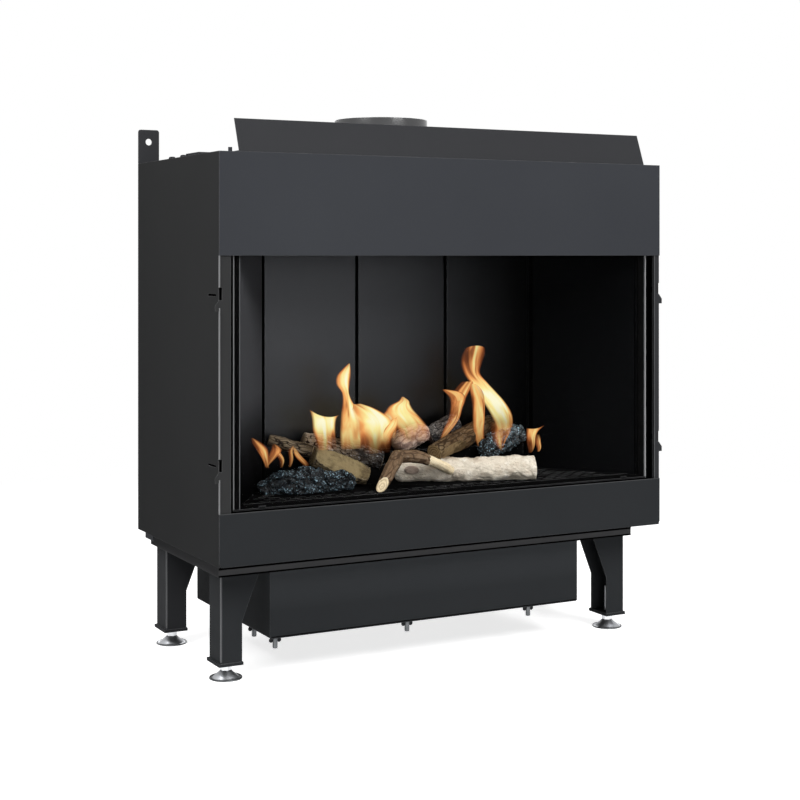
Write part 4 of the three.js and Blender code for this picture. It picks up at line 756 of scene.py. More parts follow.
# painted light and shade: most of these nodes get a paler or darker copy of their slot's coat, for the light
# that falls on them
nodeFinishes = {  # nodes that look a little different from the rest of their slot
    "lower_fascia": "lower", "left_side_panel": "side", "right_side_panel": "frame", "gas_box": "box",
    "side_liner_right": "shadedLiner", "side_liner_left": "litLeftLiner", "glass_bottom_rail": "rail",
    "heat_deflector": "frame", "base_frame": "ring", "rear_left_leg": "frame", "rear_right_leg": "frame",
    "left_wall_bracket": "frame", "right_wall_bracket": "frame",
}


def dressNodes():
    for entry in frame["record"]["subparts"]:
        node = parts[entry["node"]]
        node.data.materials.clear()
        finish = nodeFinishes.get(entry["node"], slotFinishes[entry["material_slot"]])
        node.data.materials.append(finishes[finish])
    print("nodes dressed:", len(parts))


# Logs. Shares run across the hearth from its middle and back from the casing's front, and
# rises are millimetres above the tray, as in the part's own table
hearth = {"halfWidth": 0.451, "front": -0.2325, "depth": 0.230, "level": 0.3403}

logPlaces = {
    "char_log_left": {
        "start": (-0.790, 0.612, 16), "end": (-0.388, 0.519, 15), "radii": (15, 27, 30, 25, 14),
        "skin": "char", "seed": 3, "ends": 9, "finish": "char", "slot": "charred_log",
    },
    "ash_log": {
        "start": (-0.106, 0.721, 22), "end": (0.506, 0.313, 22), "radii": (19, 25, 26, 27, 26),
        "skin": "ash", "seed": 11, "ends": 4, "finish": "ash", "slot": "ash_log", "roundEnds": True,
        "knot": (-0.064, 0.585, 26, 11),
    },
    "split_log": {
        "start": (-0.522, 0.717, 64), "end": (-0.283, 0.617, 19), "radii": (21, 25, 25, 23, 19),
        "skin": "plain", "seed": 19, "ends": 3, "finish": "split", "slot": "bark_log",
        "split": (-0.30, -0.80, 0.52, 0.52),
    },
    "charred_log": {
        "start": (-0.532, 0.887, 91), "end": (-0.178, 0.748, 45), "radii": (18, 22, 23, 22, 19),
        "skin": "bark", "seed": 23, "ends": 3, "finish": "charredBrown", "slot": "bark_log",
    },
    "pink_ash_log": {
        "start": (-0.083, 0.800, 77), "end": (0.076, 0.835, 96), "radii": (19, 22, 23, 21, 18),
        "skin": "ash", "seed": 31, "ends": 8, "roundEnds": True, "finish": "pinkAsh", "slot": "ash_log",
    },
    "grey_log": {
        "start": (0.105, 0.843, 82), "end": (0.250, 0.848, 113), "radii": (20, 22, 22, 21, 18),
        "skin": "bark", "seed": 37, "ends": 4, "finish": "greyAsh", "slot": "ash_log",
    },
    "brown_log": {
        "start": (0.050, 0.557, 58), "end": (0.448, 0.885, 107), "radii": (18, 21, 22, 20, 16),
        "skin": "leather", "seed": 41, "ends": 1, "finish": "brownBark", "slot": "bark_log",
        "split": (0.25, -0.62, -0.40, 0.55), "splitUpTo": 0.42,
    },
    "char_log_right": {
        "start": (0.308, 0.513, 60), "end": (0.575, 0.748, 86), "radii": (19, 24, 23, 21, 15),
        "skin": "char", "seed": 47, "ends": 8, "finish": "greyChar", "slot": "charred_log",
    },
    "thin_log": {
        "start": (-0.686, 0.939, 95), "end": (-0.514, 0.774, 71), "radii": (11, 12.5, 13, 12.5, 12),
        "skin": "plain", "seed": 53, "ends": 2, "finish": "bark", "slot": "bark_log",
    },
}
branchPlaces = {
    "stem": [(-0.308, 0.226, 12), (-0.239, 0.330, 39), (-0.170, 0.435, 61)],
    "stemRadii": (9.6, 11.4, 13.0, 13.8, 14.5),
    "limb": [(-0.170, 0.435, 61), (-0.100, 0.432, 60), (-0.030, 0.439, 52), (0.045, 0.441, 38),
             (0.106, 0.443, 23)],
    "limbRadii": (14.5, 13, 12, 11, 10.5),
    "stemRings": 90, "limbRings": 130, "sides": 80, "ends": 1,
    "peeledFrom": 0.52, "peelDepth": 1.6, "cutFacing": (-0.42, -0.88, 0.22), "cutBack": 11.0,
    "skin": "leather", "seed": 61, "finish": "branch",
}
# how each kind of skin is broken up, in millimetres: size of its plates round and along
# the log, how deep the cracks are, how much the plates differ, and the broad lumps
skins = {
    "char": {"across": 17.5, "along": 25.0, "crack": 6.6, "uneven": 6.0, "lump": 7.5, "grit": 1.9},
    "bark": {"across": 6.0, "along": 18.0, "crack": 1.3, "uneven": 1.4, "lump": 3.0, "grit": 0.8},
    "ash": {"across": 17.0, "along": 30.0, "crack": 1.0, "uneven": 2.2, "lump": 5.5, "grit": 1.7},
    "leather": {"across": 9.0, "along": 40.0, "crack": 0.3, "uneven": 0.6, "lump": 2.4, "grit": 0.5},
    "plain": {"across": 6.0, "along": 40.0, "crack": 0.8, "uneven": 0.8, "lump": 2.2, "grit": 0.5},
}
skinNoise = {
    "seed": 5, "warpScale": 70, "warp": 0.004, "crackShare": 0.22, "lumpScales": (32, 70), "lumpGain": 1.4,
    "gritScales": (400, 850),
}
noise.seed_set(skinNoise["seed"])  # otherwise the warp of the skins follows the clock
cuts = {  # metres, where a log is split, peeled or has a knot
    "splitRough": 0.0012, "splitBlend": 0.0015, "splitTaper": 0.48, "peelWander": 0.05, "peelBlend": 0.03,
    "knotStretch": (0.55, 0.7, 1.0), "knotRipple": 0.0016, "knotRise": 0.004,
}
logMesh = {"rings": 150, "sides": 110, "capRings": 14}


def hearthPoint(across, depth, rise):
    return Vector((across * hearth["halfWidth"], hearth["front"] + depth * hearth["depth"],
                   hearth["level"] + rise / 1000))


def alongValues(values, share):  # a smooth value between evenly spaced ones
    count = len(values) - 1
    place = min(max(share, 0.0), 1.0) * count
    index = min(int(place), count - 1)
    step = place - index
    before, first = values[max(index - 1, 0)], values[index]
    second, after = values[index + 1], values[min(index + 2, count)]
    return 0.5 * (2 * first + (second - before) * step
                  + (2 * before - 5 * first + 4 * second - after) * step ** 2
                  + (3 * first - before - 3 * second + after) * step ** 3)


# How far the skin stands out at a place, in metres, and how far up a plate it lies
def skinHeight(skin, point, seed):
    shift = Vector((seed * 1.7, seed * 0.9, seed * 0.4))
    warp = noise.noise_vector(point * skinNoise["warpScale"] + shift) * skinNoise["warp"]
    cell = Vector(((point.x + warp.x) / skin["across"], (point.y + warp.y) / skin["across"],
                   (point.z + warp.z * 2) / skin["along"])) * 1000 + shift
    distances, centres = noise.voronoi(cell)
    edge = min(1.0, (distances[1] - distances[0]) / skinNoise["crackShare"])
    plate = edge * edge * (3 - 2 * edge)
    uneven = noise.noise(centres[0] * 3.1)
    wide, narrow = skinNoise["lumpScales"]
    lump = noise.noise(point * wide + shift) * 0.7 + noise.noise(point * narrow + shift) * 0.3
    coarse, fine = skinNoise["gritScales"]
    grit = noise.noise(point * coarse + shift) * 0.6 + noise.noise(point * fine + shift) * 0.4
    height = skin["lump"] * lump * skinNoise["lumpGain"] + skin["uneven"] * uneven
    height += skin["grit"] * grit - skin["crack"] * (1 - plate)
    return height / 1000, plate * (0.75 + 0.5 * uneven)


class SweptSkin:  # a dense skin along a path, with the fields that its finish reads

    def __init__(self, look):
        self.look = look
        self.skin = skins[look["skin"]]
        self.points = []
        self.fields = {"barkPlace": [], "cutShare": [], "reliefShare": [], "alongShare": []}

    def addRing(self, spot, share, radius, cut, shrink, push, sides):
        centre, across, over, ahead, length = spot
        for side in range(sides):
            angle = 2 * math.pi * side / sides
            outward = across * math.cos(angle) + over * math.sin(angle)
            bark = Vector((math.cos(angle) * radius, math.sin(angle) * radius, share * length))
            height, plate = skinHeight(self.skin, bark, self.look["seed"])
            point = centre + outward * (radius + height) * shrink + push
            cutHere = cut
            for test in (self.cutFlat, self.cutPeel, self.addKnot, self.cutEnd):
                point, cutHere, plate = test(point, centre, outward, share, radius, cutHere, plate)
            point.z = max(point.z, hearth["level"])
            self.points.append(point)
            self.fields["barkPlace"].append(tuple(Vector((bark.x * shrink, bark.y * shrink, bark.z))))
            self.fields["cutShare"].append(cutHere)
            self.fields["reliefShare"].append(max(0.0, min(1.0, plate)))
            self.fields["alongShare"].append(share)

    def cutFlat(self, point, centre, outward, share, radius, cut, plate):  # a face split off the log
        upTo = self.look.get("splitUpTo", 1.0)
        if "split" not in self.look or share > upTo:
            return point, cut, plate
        *direction, reach = self.look["split"]
        facing = Vector(direction).normalized()
        ends = math.sin(math.pi * min(max(share / upTo, 0.0), 1.0)) ** 0.35
        rough = noise.noise(Vector((outward.x * 3, outward.y * 3, share * 26))) * cuts["splitRough"]
        depth = radius * (reach + cuts["splitTaper"] * (1 - ends))
        beyond = (point - centre).dot(facing) - depth + rough
        if beyond <= 0:
            return point, cut, plate
        return point - facing * beyond, max(cut, min(1.0, beyond / cuts["splitBlend"])), 1.0

    def cutPeel(self, point, centre, outward, share, radius, cut, plate):  # bark stripped off one end
        peeledFrom = self.look.get("peeledFrom", 2.0)
        if share < peeledFrom:
            return point, cut, plate
        edge = noise.noise(outward * 2.2) * cuts["peelWander"]
        bare = min(1.0, max(0.0, (share - peeledFrom - edge) / cuts["peelBlend"]))
        facets = math.floor(math.atan2(outward.z, outward.y) * 1.6) / 1.6
        depth = self.look["peelDepth"] / 1000 * (1 + 0.3 * math.sin(facets * 5))
        return point - outward * depth * bare, max(cut, bare), plate

    def addKnot(self, point, centre, outward, share, radius, cut, plate):  # stump of a branch
        if "knot" not in self.look:
            return point, cut, plate
        *place, size = self.look["knot"]
        away = (point - hearthPoint(*place)) * Vector(cuts["knotStretch"])
        away = away.length / (size / 1000)
        if away >= 1:
            return point, cut, plate
        ripple = cuts["knotRipple"] * math.cos(away * 9) * (1 - away) + cuts["knotRise"] * (1 - away ** 2)
        return point + outward * ripple, max(cut, min(1.0, (1 - away) * 3)), plate

    def cutEnd(self, point, centre, outward, share, radius, cut, plate):  # sawn across, facing the front
        if "cutFacing" not in self.look or share > 0.5:
            return point, cut, plate
        facing = Vector(self.look["cutFacing"]).normalized()
        ahead = self.firstAhead
        beyond = (point - self.firstSpot - ahead * self.look["cutBack"] / 1000).dot(facing)
        if beyond <= 0:
            return point, cut, plate
        return point - ahead * (beyond / ahead.dot(facing)), 1.0, 1.0

    def sweep(self, path, radii, rings, sides, ends):
        radii = [radius / 1000 for radius in radii]
        length = sum((second - first).length for first, second in zip(path, path[1:]))
        spots = []
        across = None
        for ring in range(rings + 1):
            share = ring / rings
            ahead = (alongValues(path, share + 0.01) - alongValues(path, share - 0.01)).normalized()
            across = ahead.cross(Vector((0, 0, 1))) if across is None else across - ahead * across.dot(ahead)
            across.normalize()
            spots.append((alongValues(path, share), across.copy(), ahead.cross(across), ahead, length))
        self.firstSpot, self.firstAhead = spots[0][0], spots[0][3]
        caps = logMesh["capRings"]
        still = Vector((0, 0, 0))
        for step in range(caps):
            self.addCapRing(spots[0], 0.0, radii[0], step / caps, -ends / 1000, sides)
        for ring, spot in enumerate(spots):
            self.addRing(spot, ring / rings, alongValues(radii, ring / rings), 0.0, 1.0, still, sides)
        for step in range(caps - 1, -1, -1):
            self.addCapRing(spots[-1], 1.0, radii[-1], step / caps, ends / 1000, sides)
        count = len(self.points) // sides
        last = len(self.points) - sides
        self.faces = gridFaces(count, sides)
        self.faces.append(tuple(range(sides - 1, -1, -1)))
        self.faces.append(tuple(range(last, last + sides)))

    def addCapRing(self, spot, share, radius, shrink, bulge, sides):
        push = spot[3] * bulge * (1 - shrink ** 3)
        sawn = self.look["skin"] != "char" and shrink < 0.95 and "roundEnds" not in self.look
        self.addRing(spot, share, radius, 1.0 if sawn else 0.0, max(shrink, 0.004), push, sides)

    def makePiece(self, name):
        piece = newPiece(name, self.points, self.faces, True)
        for field, values in self.fields.items():
            kind, key = ("FLOAT_VECTOR", "vector") if field == "barkPlace" else ("FLOAT", "value")
            if key == "vector":
                values = [part for value in values for part in value]
            piece.data.attributes.new(field, kind, "POINT").data.foreach_set(key, values)
        turnOutwards(piece)
        return piece


def makeLogs():
    made = {}
    for name, look in logPlaces.items():
        start, end = hearthPoint(*look["start"]), hearthPoint(*look["end"])
        path = [start, start.lerp(end, 1 / 3), start.lerp(end, 2 / 3), end]
        skin = SweptSkin(look)
        skin.sweep(path, look["radii"], logMesh["rings"], logMesh["sides"], look["ends"])
        piece = skin.makePiece(name + "_skin")
        made[name] = finishPiece(piece, "casing", look["slot"], look["finish"], name)
    print("logs laid:", len(made))
    return made


def makeBranch():
    look = branchPlaces
    stem = SweptSkin({key: value for key, value in look.items() if key != "peeledFrom"})
    path = [hearthPoint(*place) for place in look["stem"]]
    path[0] += (path[0] - path[1]).normalized() * look["cutBack"] / 1000
    stem.sweep(path, look["stemRadii"], look["stemRings"], look["sides"], look["ends"])
    limb = SweptSkin({key: value for key, value in look.items() if key != "cutFacing"})
    path = [hearthPoint(*place) for place in look["limb"]]
    limb.sweep(path, look["limbRadii"], look["limbRings"], look["sides"], look["ends"])
    finishPiece(stem.makePiece("branch_stem_skin"), "casing", "bark_log", look["finish"], "forked_branch")
    finishPiece(limb.makePiece("branch_limb_skin"), "casing", "bark_log", look["finish"])
    print("branch laid")


# Geometry Nodes

def newTree(name, inputs):
    tree = bpy.data.node_groups.new(name, "GeometryNodeTree")
    tree.interface.new_socket("Geometry", in_out="INPUT", socket_type="NodeSocketGeometry")
    for label, kind in inputs:
        tree.interface.new_socket(label, in_out="INPUT", socket_type=kind)
    tree.interface.new_socket("Geometry", in_out="OUTPUT", socket_type="NodeSocketGeometry")
    return tree, addNode(tree, "NodeGroupInput"), addNode(tree, "NodeGroupOutput")


def endTree(tree, start, end, geometry):
    real = addNode(tree, "GeometryNodeRealizeInstances", None, Geometry=geometry)
    finish = addNode(tree, "GeometryNodeSetMaterial", None, Geometry=real.outputs[0],
                     Material=start.outputs["Finish"])
    tree.links.new(finish.outputs[0], end.inputs["Geometry"])
    return tree


# the piece that a tree grows on a host, which goes once the result is a plain mesh
def grow(name, host, tree, values):
    modifier = host.modifiers.new("grow", "NODES")
    modifier.node_group = tree
    for item in tree.interface.items_tree:
        if item.in_out == "INPUT" and item.name in values:
            modifier[item.identifier] = values[item.name]
    bpy.context.view_layer.update()
    evaluated = host.evaluated_get(bpy.context.evaluated_depsgraph_get())
    mesh = bpy.data.meshes.new_from_object(evaluated)
    host.modifiers.clear()
    bpy.data.objects.remove(host)
    piece = bpy.data.objects.new(name, mesh)
    bpy.context.scene.collection.objects.link(piece)
    return piece


cinders = {"density": 40000.0, "smallest": 0.0007, "largest": 0.0020}  # to a square metre, and metres
cinderFields = {"reliefShare": 0.95, "alongShare": 0.5, "cutShare": 0.0}


def cinderTree():  # small broken flakes scattered over a charred log
    tree, start, end = newTree("cinders", [
        ("Density", "NodeSocketFloat"), ("Smallest", "NodeSocketFloat"), ("Largest", "NodeSocketFloat"),
        ("Seed", "NodeSocketInt"), ("Finish", "NodeSocketMaterial"),
    ])
    points = addNode(tree, "GeometryNodeDistributePointsOnFaces", None, Mesh=start.outputs["Geometry"],
                     Density=start.outputs["Density"], Seed=start.outputs["Seed"])
    flake = addNode(tree, "GeometryNodeMeshIcoSphere", None, Radius=1.0, Subdivisions=1)
    turn = addNode(tree, "FunctionNodeRandomValue", {"data_type": "FLOAT_VECTOR"}, Seed=start.outputs["Seed"],
                   **{"1": (2 * math.pi, 2 * math.pi, 2 * math.pi)})
    size = addNode(tree, "FunctionNodeRandomValue", {"data_type": "FLOAT"}, Seed=start.outputs["Seed"],
                   **{"2": start.outputs["Smallest"], "3": start.outputs["Largest"]})
    thin = addNode(tree, "ShaderNodeMath", {"operation": "MULTIPLY"}, **{"0": size.outputs[1], "1": 0.5})
    flat = addNode(tree, "ShaderNodeCombineXYZ", None, X=size.outputs[1], Y=size.outputs[1],
                   Z=thin.outputs[0])
    spreadOut = addNode(tree, "GeometryNodeInstanceOnPoints", None, Points=points.outputs["Points"],
                        Instance=flake.outputs["Mesh"], Rotation=turn.outputs[0], Scale=flat.outputs[0])
    return endTree(tree, start, end, spreadOut.outputs[0])


def makeCinders(logPieces):
    tree = cinderTree()
    for name, look in logPlaces.items():
        if look["skin"] != "char":
            continue
        host = bpy.data.objects.new("cinderHost", logPieces[name].data.copy())
        bpy.context.scene.collection.objects.link(host)
        flakes = grow(name + "_cinders", host, tree, {
            "Density": cinders["density"], "Smallest": cinders["smallest"], "Largest": cinders["largest"],
            "Seed": look["seed"], "Finish": finishes["char"],
        })
        for field, value in cinderFields.items():
            if field in flakes.data.attributes:
                flakes.data.attributes.remove(flakes.data.attributes[field])
            layer = flakes.data.attributes.new(field, "FLOAT", "POINT")
            layer.data.foreach_set("value", [value] * len(flakes.data.vertices))
        finishPiece(flakes, "casing", look["slot"], "char")
    print("cinders spread")


screws = {
    # from the middle of the recess outwards, as shares of the radius and height of the head
    "profileShares": [(0, 0.35), (0.45, 0.35), (0.45, 1), (0.72, 0.92), (0.93, 0.55), (1, 0), (1, -0.1),
                      (0, -0.1)],
    "radius": 0.0048, "height": 0.0026, "sides": 24,
    "topRadius": 0.0075, "topHeight": 0.0060,
    "topDepths": (0.2325, 0.299), "topInset": 0.016,  # on the top panel, behind each relief flap
    "ringRise": 0.017, "ringAcross": (0.075, 0.124, 0.467, 0.524, 0.868, 0.937),  # shares of the width
    "backAcross": (-0.44, -0.15, 0.15, 0.44), "backInset": 0.02,
}


def recessShape(angle, ring):  # the recess has six flats
    return hexShape(angle) if ring < 3 else 1


def screwHead(radius, height):
    profile = [(radius * across, height * rise) for across, rise in screws["profileShares"]]
    points = turnedRings(profile, screws["sides"], (0, 0, 0), recessShape)
    head = newPiece("screwHead", points, gridFaces(len(profile), screws["sides"]))
    turnOutwards(head, 0.000001)
    smoothByAngle(head)
    return head


def screwTree():  # one head on each point, along the direction that the face looks
    tree, start, end = newTree("screws", [("Head", "NodeSocketObject"), ("Finish", "NodeSocketMaterial")])
    facing = addNode(tree, "GeometryNodeInputNamedAttribute", {"data_type": "FLOAT_VECTOR"}, Name="facing")
    aim = addNode(tree, "FunctionNodeAlignRotationToVector", {"axis": "Z"},
                  Vector=facing.outputs["Attribute"])
    head = addNode(tree, "GeometryNodeObjectInfo", None, Object=start.outputs["Head"])
    points = addNode(tree, "GeometryNodeMeshToPoints", None, Mesh=start.outputs["Geometry"])
    heads = addNode(tree, "GeometryNodeInstanceOnPoints", None, Points=points.outputs[0],
                    Instance=head.outputs["Geometry"], Rotation=aim.outputs["Rotation"])
    return endTree(tree, start, end, heads.outputs[0])


def setScrews(name, places, head, finish, slot):
    host = newPiece(name + "Host", [place for place, facing in places], [])
    layer = host.data.attributes.new("facing", "FLOAT_VECTOR", "POINT")
    layer.data.foreach_set("vector", [part for place, facing in places for part in facing])
    piece = grow(name, host, screwTree(), {"Head": head, "Finish": finishes[finish]})
    smoothByAngle(piece)
    finishPiece(piece, "casing", slot, finish)
    print(name, len(places))


def makeScrews():
    small = screwHead(screws["radius"], screws["height"])
    large = screwHead(screws["topRadius"], screws["topHeight"])
    low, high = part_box("upper_fascia")
    places = []
    for side in (-1, 1):
        for depth in screws["topDepths"]:
            places.append(((side * (high.x - screws["topInset"]), low.y + depth, high.z), (0, 0, 1)))
    setScrews("top_screws", places, large, "frame", "casing_steel")
    ringLow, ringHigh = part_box("base_frame")
    places = []
    for share in screws["ringAcross"]:
        across = low.x + share * (high.x - low.x)
        places.append(((across, ringLow.y, ringHigh.z - screws["ringRise"] / 2), (0, -1, 0)))
    backLow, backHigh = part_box("back_panel")
    rises = (backLow.z + screws["backInset"], (backLow.z + backHigh.z) / 2, backHigh.z - screws["backInset"])
    for across in screws["backAcross"]:
        for rise in rises:
            places.append(((across, backHigh.y, rise), (0, 1, 0)))
    setScrews("panel_screws", places, small, "zinc", "zinc_steel")
    for head in (small, large):
        bpy.data.objects.remove(head)


def threadTree():  # a screw thread: a thin ridge wound round a stud
    tree, start, end = newTree("thread", [
        ("Radius", "NodeSocketFloat"), ("Length", "NodeSocketFloat"), ("Turns", "NodeSocketFloat"),
        ("Ridge", "NodeSocketFloat"), ("Finish", "NodeSocketMaterial"),
    ])
    radius = start.outputs["Radius"]
    coil = addNode(tree, "GeometryNodeCurveSpiral", None, Resolution=16, Rotations=start.outputs["Turns"],
                   Start_Radius=radius, End_Radius=radius, Height=start.outputs["Length"])
    ridge = addNode(tree, "GeometryNodeCurvePrimitiveCircle", None, Resolution=4,
                    Radius=start.outputs["Ridge"])
    wound = addNode(tree, "GeometryNodeCurveToMesh", None, Curve=coil.outputs[0],
                    Profile_Curve=ridge.outputs[0], Fill_Caps=True)
    spots = addNode(tree, "GeometryNodeMeshToPoints", None, Mesh=start.outputs["Geometry"])
    placed = addNode(tree, "GeometryNodeInstanceOnPoints", None, Points=spots.outputs[0],
                     Instance=wound.outputs[0])
    return endTree(tree, start, end, placed.outputs[0])


feet = {  # millimetres; outlines are radius and height
    "names": ("front_left", "front_right", "rear_left", "rear_right"),
    "dish": [(0, 0.2), (28.4, 0.2), (28.2, 2.2), (26.6, 1.9), (24.8, 2.8), (23.4, 4.6),
             (16.5, 9.8), (11.8, 14.2), (10.9, 15.4), (9.6, 16.0), (0, 16.0)],
    "rim": [(27.6, 0), (31.6, 0), (32, 0.8), (31.4, 2.6), (29.8, 3.0), (28.0, 2.3), (27.6, 1.6)],
    "hexRadius": 10.97, "hexLow": 15.2, "hexHigh": 28.7, "hexEdge": 1.1,
    "studRadius": 5.5, "studTop": 88.0, "studEdge": 1.0, "pitch": 1.75, "ridge": 0.55, "ridgeProud": 0.15,
    "threadLow": 1.0, "threadHigh": 2.0,  # bare stud above the nut and at the top
    "dishSides": 96, "nutSides": 72, "studSides": 48,
}


def footNut():
    low, high, radius = feet["hexLow"], feet["hexHigh"], feet["hexRadius"]
    edge, drop = radius - feet["hexEdge"], feet["hexEdge"] * 0.6
    return [(0, low), (edge, low), (radius, low + drop), (radius, high - drop), (edge, high), (0, high)]


def nutShape(angle, ring):  # six flats, and rounder towards both ends
    return hexShape(angle) if ring in (2, 3) else min(1.0, hexShape(angle) * 1.04)


def footStud():
    low, high, radius, edge = feet["hexHigh"], feet["studTop"], feet["studRadius"], feet["studEdge"]
    return [(0, low), (radius, low), (radius, high - edge), (radius - edge, high), (0, high)]


def makeFeet():
    tree = threadTree()
    threadFrom = feet["hexHigh"] + feet["threadLow"]
    length = feet["studTop"] - feet["threadHigh"] - threadFrom
    for name in feet["names"]:
        node, body = name + "_foot", name + "_leveller"
        centre = middleOf(node)
        dish = turnedPiece(node + "_dish", inMetres(feet["dish"]), feet["dishSides"], centre)
        finishPiece(dish, body, "chrome", "chrome", node)
        rim = turnedPiece(node + "_rim", inMetres(feet["rim"]), feet["dishSides"], centre, True)
        finishPiece(rim, body, "chrome", "rimChrome")
        nut = turnedPiece(node + "_nut", inMetres(footNut()), feet["nutSides"], centre, False, nutShape)
        finishPiece(nut, body, "chrome", "nutChrome")
        stud = turnedPiece(node + "_stud", inMetres(footStud()), feet["studSides"], centre)
        finishPiece(stud, body, "chrome", "chrome")
        host = newPiece(node + "Host", [(centre[0], centre[1], centre[2] + threadFrom / 1000)], [])
        thread = grow(node + "_thread", host, tree, {
            "Radius": (feet["studRadius"] + feet["ridgeProud"]) / 1000, "Length": length / 1000,
            "Turns": length / feet["pitch"], "Ridge": feet["ridge"] / 1000, "Finish": finishes["chrome"],
        })
        finishPiece(thread, body, "chrome", "chrome")
    print("feet turned:", len(feet["names"]))


collar = {  # millimetres
    "wall": 1.5, "radius": 100.0, "flangeRadius": 115.0, "flange": 1.5, "root": 3.0,
    "beadRise": 1.7, "beadHeight": 6.0, "beadDrop": 26.0, "lipRadius": 0.7, "innerRadius": 65.0, "sides": 160,
}


def makeFlue():
    centre = middleOf("flue_collar")
    low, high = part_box("flue_collar")
    top = (high.z - low.z) * 1000
    radius, wall, flange, root = collar["radius"], collar["wall"], collar["flange"], collar["root"]
    bead = top - collar["beadDrop"]
    outer = [(radius - wall, 0), (collar["flangeRadius"], 0), (collar["flangeRadius"], flange),
             (radius + root, flange), (radius, flange + root), (radius, bead),
             (radius + collar["beadRise"], bead + collar["beadHeight"] / 2),
             (radius, bead + collar["beadHeight"]), (radius, top), (radius - wall, top), (radius - wall, 0)]
    outer = inMetres(rounded(outer, collar["lipRadius"]))
    piece = turnedPiece("flue_collar_smooth", outer[:-1], collar["sides"], centre, True)
    finishPiece(piece, "casing", "flue_steel", "flue", "flue_collar")
    low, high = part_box("flue_inner_pipe")
    top = (high.z - low.z) * 1000
    radius, bore, flange = collar["innerRadius"], collar["innerRadius"] - wall, ((high.x - low.x) / 2) * 1000
    pipe = [(bore, 0), (flange, 0), (flange, wall), (radius, wall), (radius, top), (bore, top), (bore, 0)]
    pipe = inMetres(rounded(pipe, collar["lipRadius"]))
    piece = turnedPiece("flue_inner_smooth", pipe[:-1], collar["sides"], (centre[0], centre[1], low.z), True)
    finishPiece(piece, "casing", "zinc_steel", "zinc", "flue_inner_pipe")
    print("flue turned")


smoothed = {  # node: body, finish, edge radius in millimetres, sharpest angle kept smooth
    "gas_valve": ("casing", "zinc", 0.6, 30), "valve_knob": ("knob", "plastic", 0.8, 30),
    "gas_inlet_pipe": ("casing", "brass", 0.3, 50), "pilot_assembly": ("casing", "zinc", 0.2, 40),
}


def smoothNodes():
    slots = {entry["node"]: entry["material_slot"] for entry in frame["record"]["subparts"]}
    for node, (body, finish, edge, angle) in smoothed.items():
        piece = bpy.data.objects.new(node + "_smooth", parts[node].data.copy())
        bpy.context.scene.collection.objects.link(piece)
        turnOutwards(piece, 0.000002)
        smoothByAngle(piece, angle)
        bevel = piece.modifiers.new("edges", "BEVEL")
        bevel.width = edge / 1000
        bevel.segments = 2
        bevel.limit_method = "ANGLE"
        bevel.angle_limit = math.radians(40)
        finishPiece(piece, body, slots[node], finish, node)
    print("small pieces smoothed:", len(smoothed))


wingNuts = {  # millimetres; outlines are radius and height, and heights go down from the lid
    "count": 6,
    "hub": [(3.3, 0), (6.2, 0), (5.6, -1.6), (4.9, -2.4), (4.9, -18.4), (4.2, -20.2), (3.3, -20.4)],
    "wing": [(0, -1.1), (2.6, -1.2), (3.9, -1.0), (4.5, -0.4), (4.5, 0.4), (3.9, 1.0), (2.6, 1.2), (0, 1.1)],
    "wingAcross": 8.3, "wingDrop": 4.8, "sides": 36,
}


def makeWingNuts():
    hub, wing = inMetres(wingNuts["hub"]), inMetres(wingNuts["wing"])
    for index in range(1, wingNuts["count"] + 1):
        node, body = "wing_nut_%d" % index, "nut_%d" % index
        across, depth, low = middleOf(node)
        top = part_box(node)[1].z
        piece = turnedPiece(node + "_hub", hub, wingNuts["sides"], (across, depth, top), True)
        finishPiece(piece, body, "nut_iron", "rimChrome", node)
        for side, name in ((-1, "left"), (1, "right")):
            middle = across + side * wingNuts["wingAcross"] / 1000
            piece = turnedPiece("%s_wing_%s" % (node, name), wing, wingNuts["sides"], (0, 0, 0))
            for vertex in piece.data.vertices:  # turned on end, so that the wing stands upright
                x, y, z = vertex.co
                vertex.co = (middle + x, depth + z, top - wingNuts["wingDrop"] / 1000 + y)
            turnOutwards(piece)
            finishPiece(piece, body, "nut_iron", "frame")
    print("wing nuts made:", wingNuts["count"])


